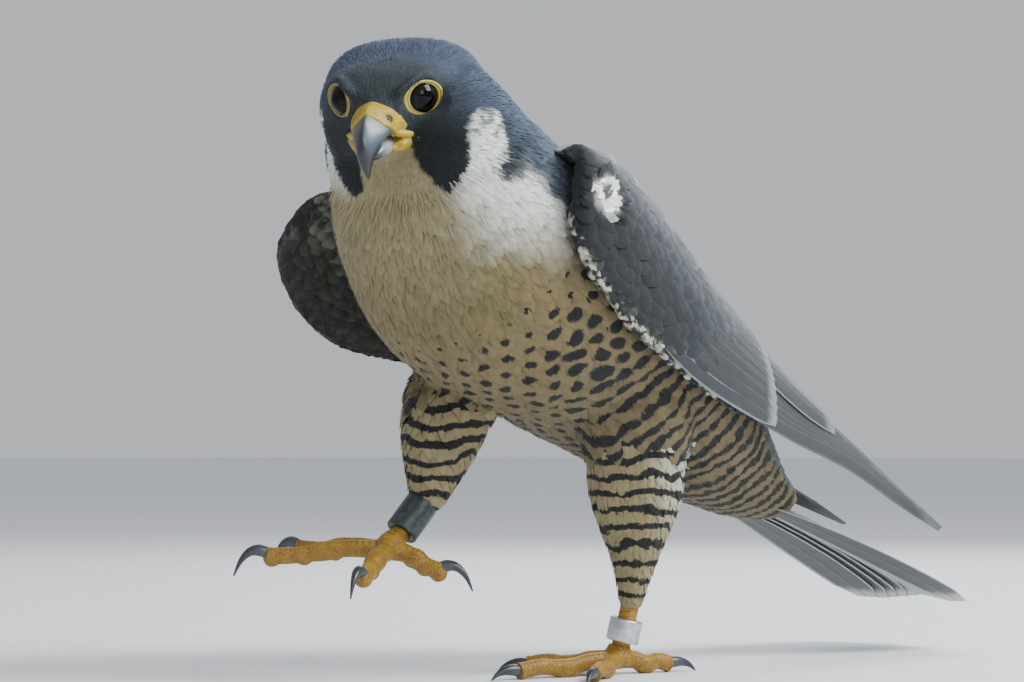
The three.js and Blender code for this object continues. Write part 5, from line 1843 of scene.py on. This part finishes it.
SILVER = band_material("band_metal", (0.62, 0.63, 0.65), (0.45, 0.46, 0.48), 0.9, 0.32)
BLACK_BAND = band_material("band_dark", (0.015, 0.018, 0.018), (0.03, 0.05, 0.045), 0.0, 0.4)


BAND_GAP, BAND_R, BAND_EDGE = 0.35, 6.9, 0.35


# A plain ring with rounded edges round the tarsus, between two shares of the way from hub to ankle.
def band_piece(key, material, start, end, count=72):
    hub, ankle = HUB[key], ANKLE[key]
    p, q = mix(hub, ankle, start), mix(hub, ankle, end)
    along = unit(q - p)
    side = unit(np.cross(along, (0, 1, 0)))
    up = np.cross(side, along)
    length = np.linalg.norm(q - p)
    half = [(0.0, TARSUS_R + BAND_GAP), (0.0, BAND_R - BAND_EDGE), (0.25, BAND_R - 0.08), (0.6, BAND_R)]
    outline = half + [(length - z, r) for z, r in half[::-1]]
    a = 2 * np.pi * np.arange(count) / count
    circle = side * np.cos(a)[:, None] + up * np.sin(a)[:, None]
    points = np.array([p + along * z + circle * r for z, r in outline])
    mesh = raw_mesh("band", points.reshape(-1, 3), grid_faces(len(outline), count, True, True))
    piece("band_" + key, mesh, material, ("band_" + key,))


for foot_key in ("l", "r"):
    foot_piece(foot_key)
    tarsus_piece(foot_key)
    for foot_toe in TOES[foot_key]:
        claw_piece(foot_key, foot_toe)
band_piece("l", SILVER, 0.62, 0.26)
band_piece("r", BLACK_BAND, 0.86, 0.3)

# Floor and light

FLOOR_HALF, FLOOR_LEVEL = 30000, -0.05
SKY, SKY_STRENGTH = (0.86, 0.90, 0.95, 1), 0.66


def floor_material():
    g = Graph("floor")
    tone = g.blend(g.noise(3, 3), rgb((0.82, 0.83, 0.85)), rgb((0.86, 0.87, 0.88)))
    return g.finish(tone, 0.8)


floor_corners = np.array([(-1, -1, 0), (1, -1, 0), (1, 1, 0), (-1, 1, 0)]) * FLOOR_HALF
floor_corners = floor_corners + (0, 0, FLOOR_LEVEL)
floor_mesh = raw_mesh("floor", floor_corners, np.array([[0, 1, 2, 3]]))
floor_mesh.materials.append(floor_material())
floor = bpy.data.objects.new("floor", floor_mesh)
bpy.context.scene.collection.objects.link(floor)

world = bpy.data.worlds.new("studio")
bpy.context.scene.world = world
world.use_nodes = True
background = world.node_tree.nodes["Background"]
background.inputs["Color"].default_value = SKY
background.inputs["Strength"].default_value = SKY_STRENGTH
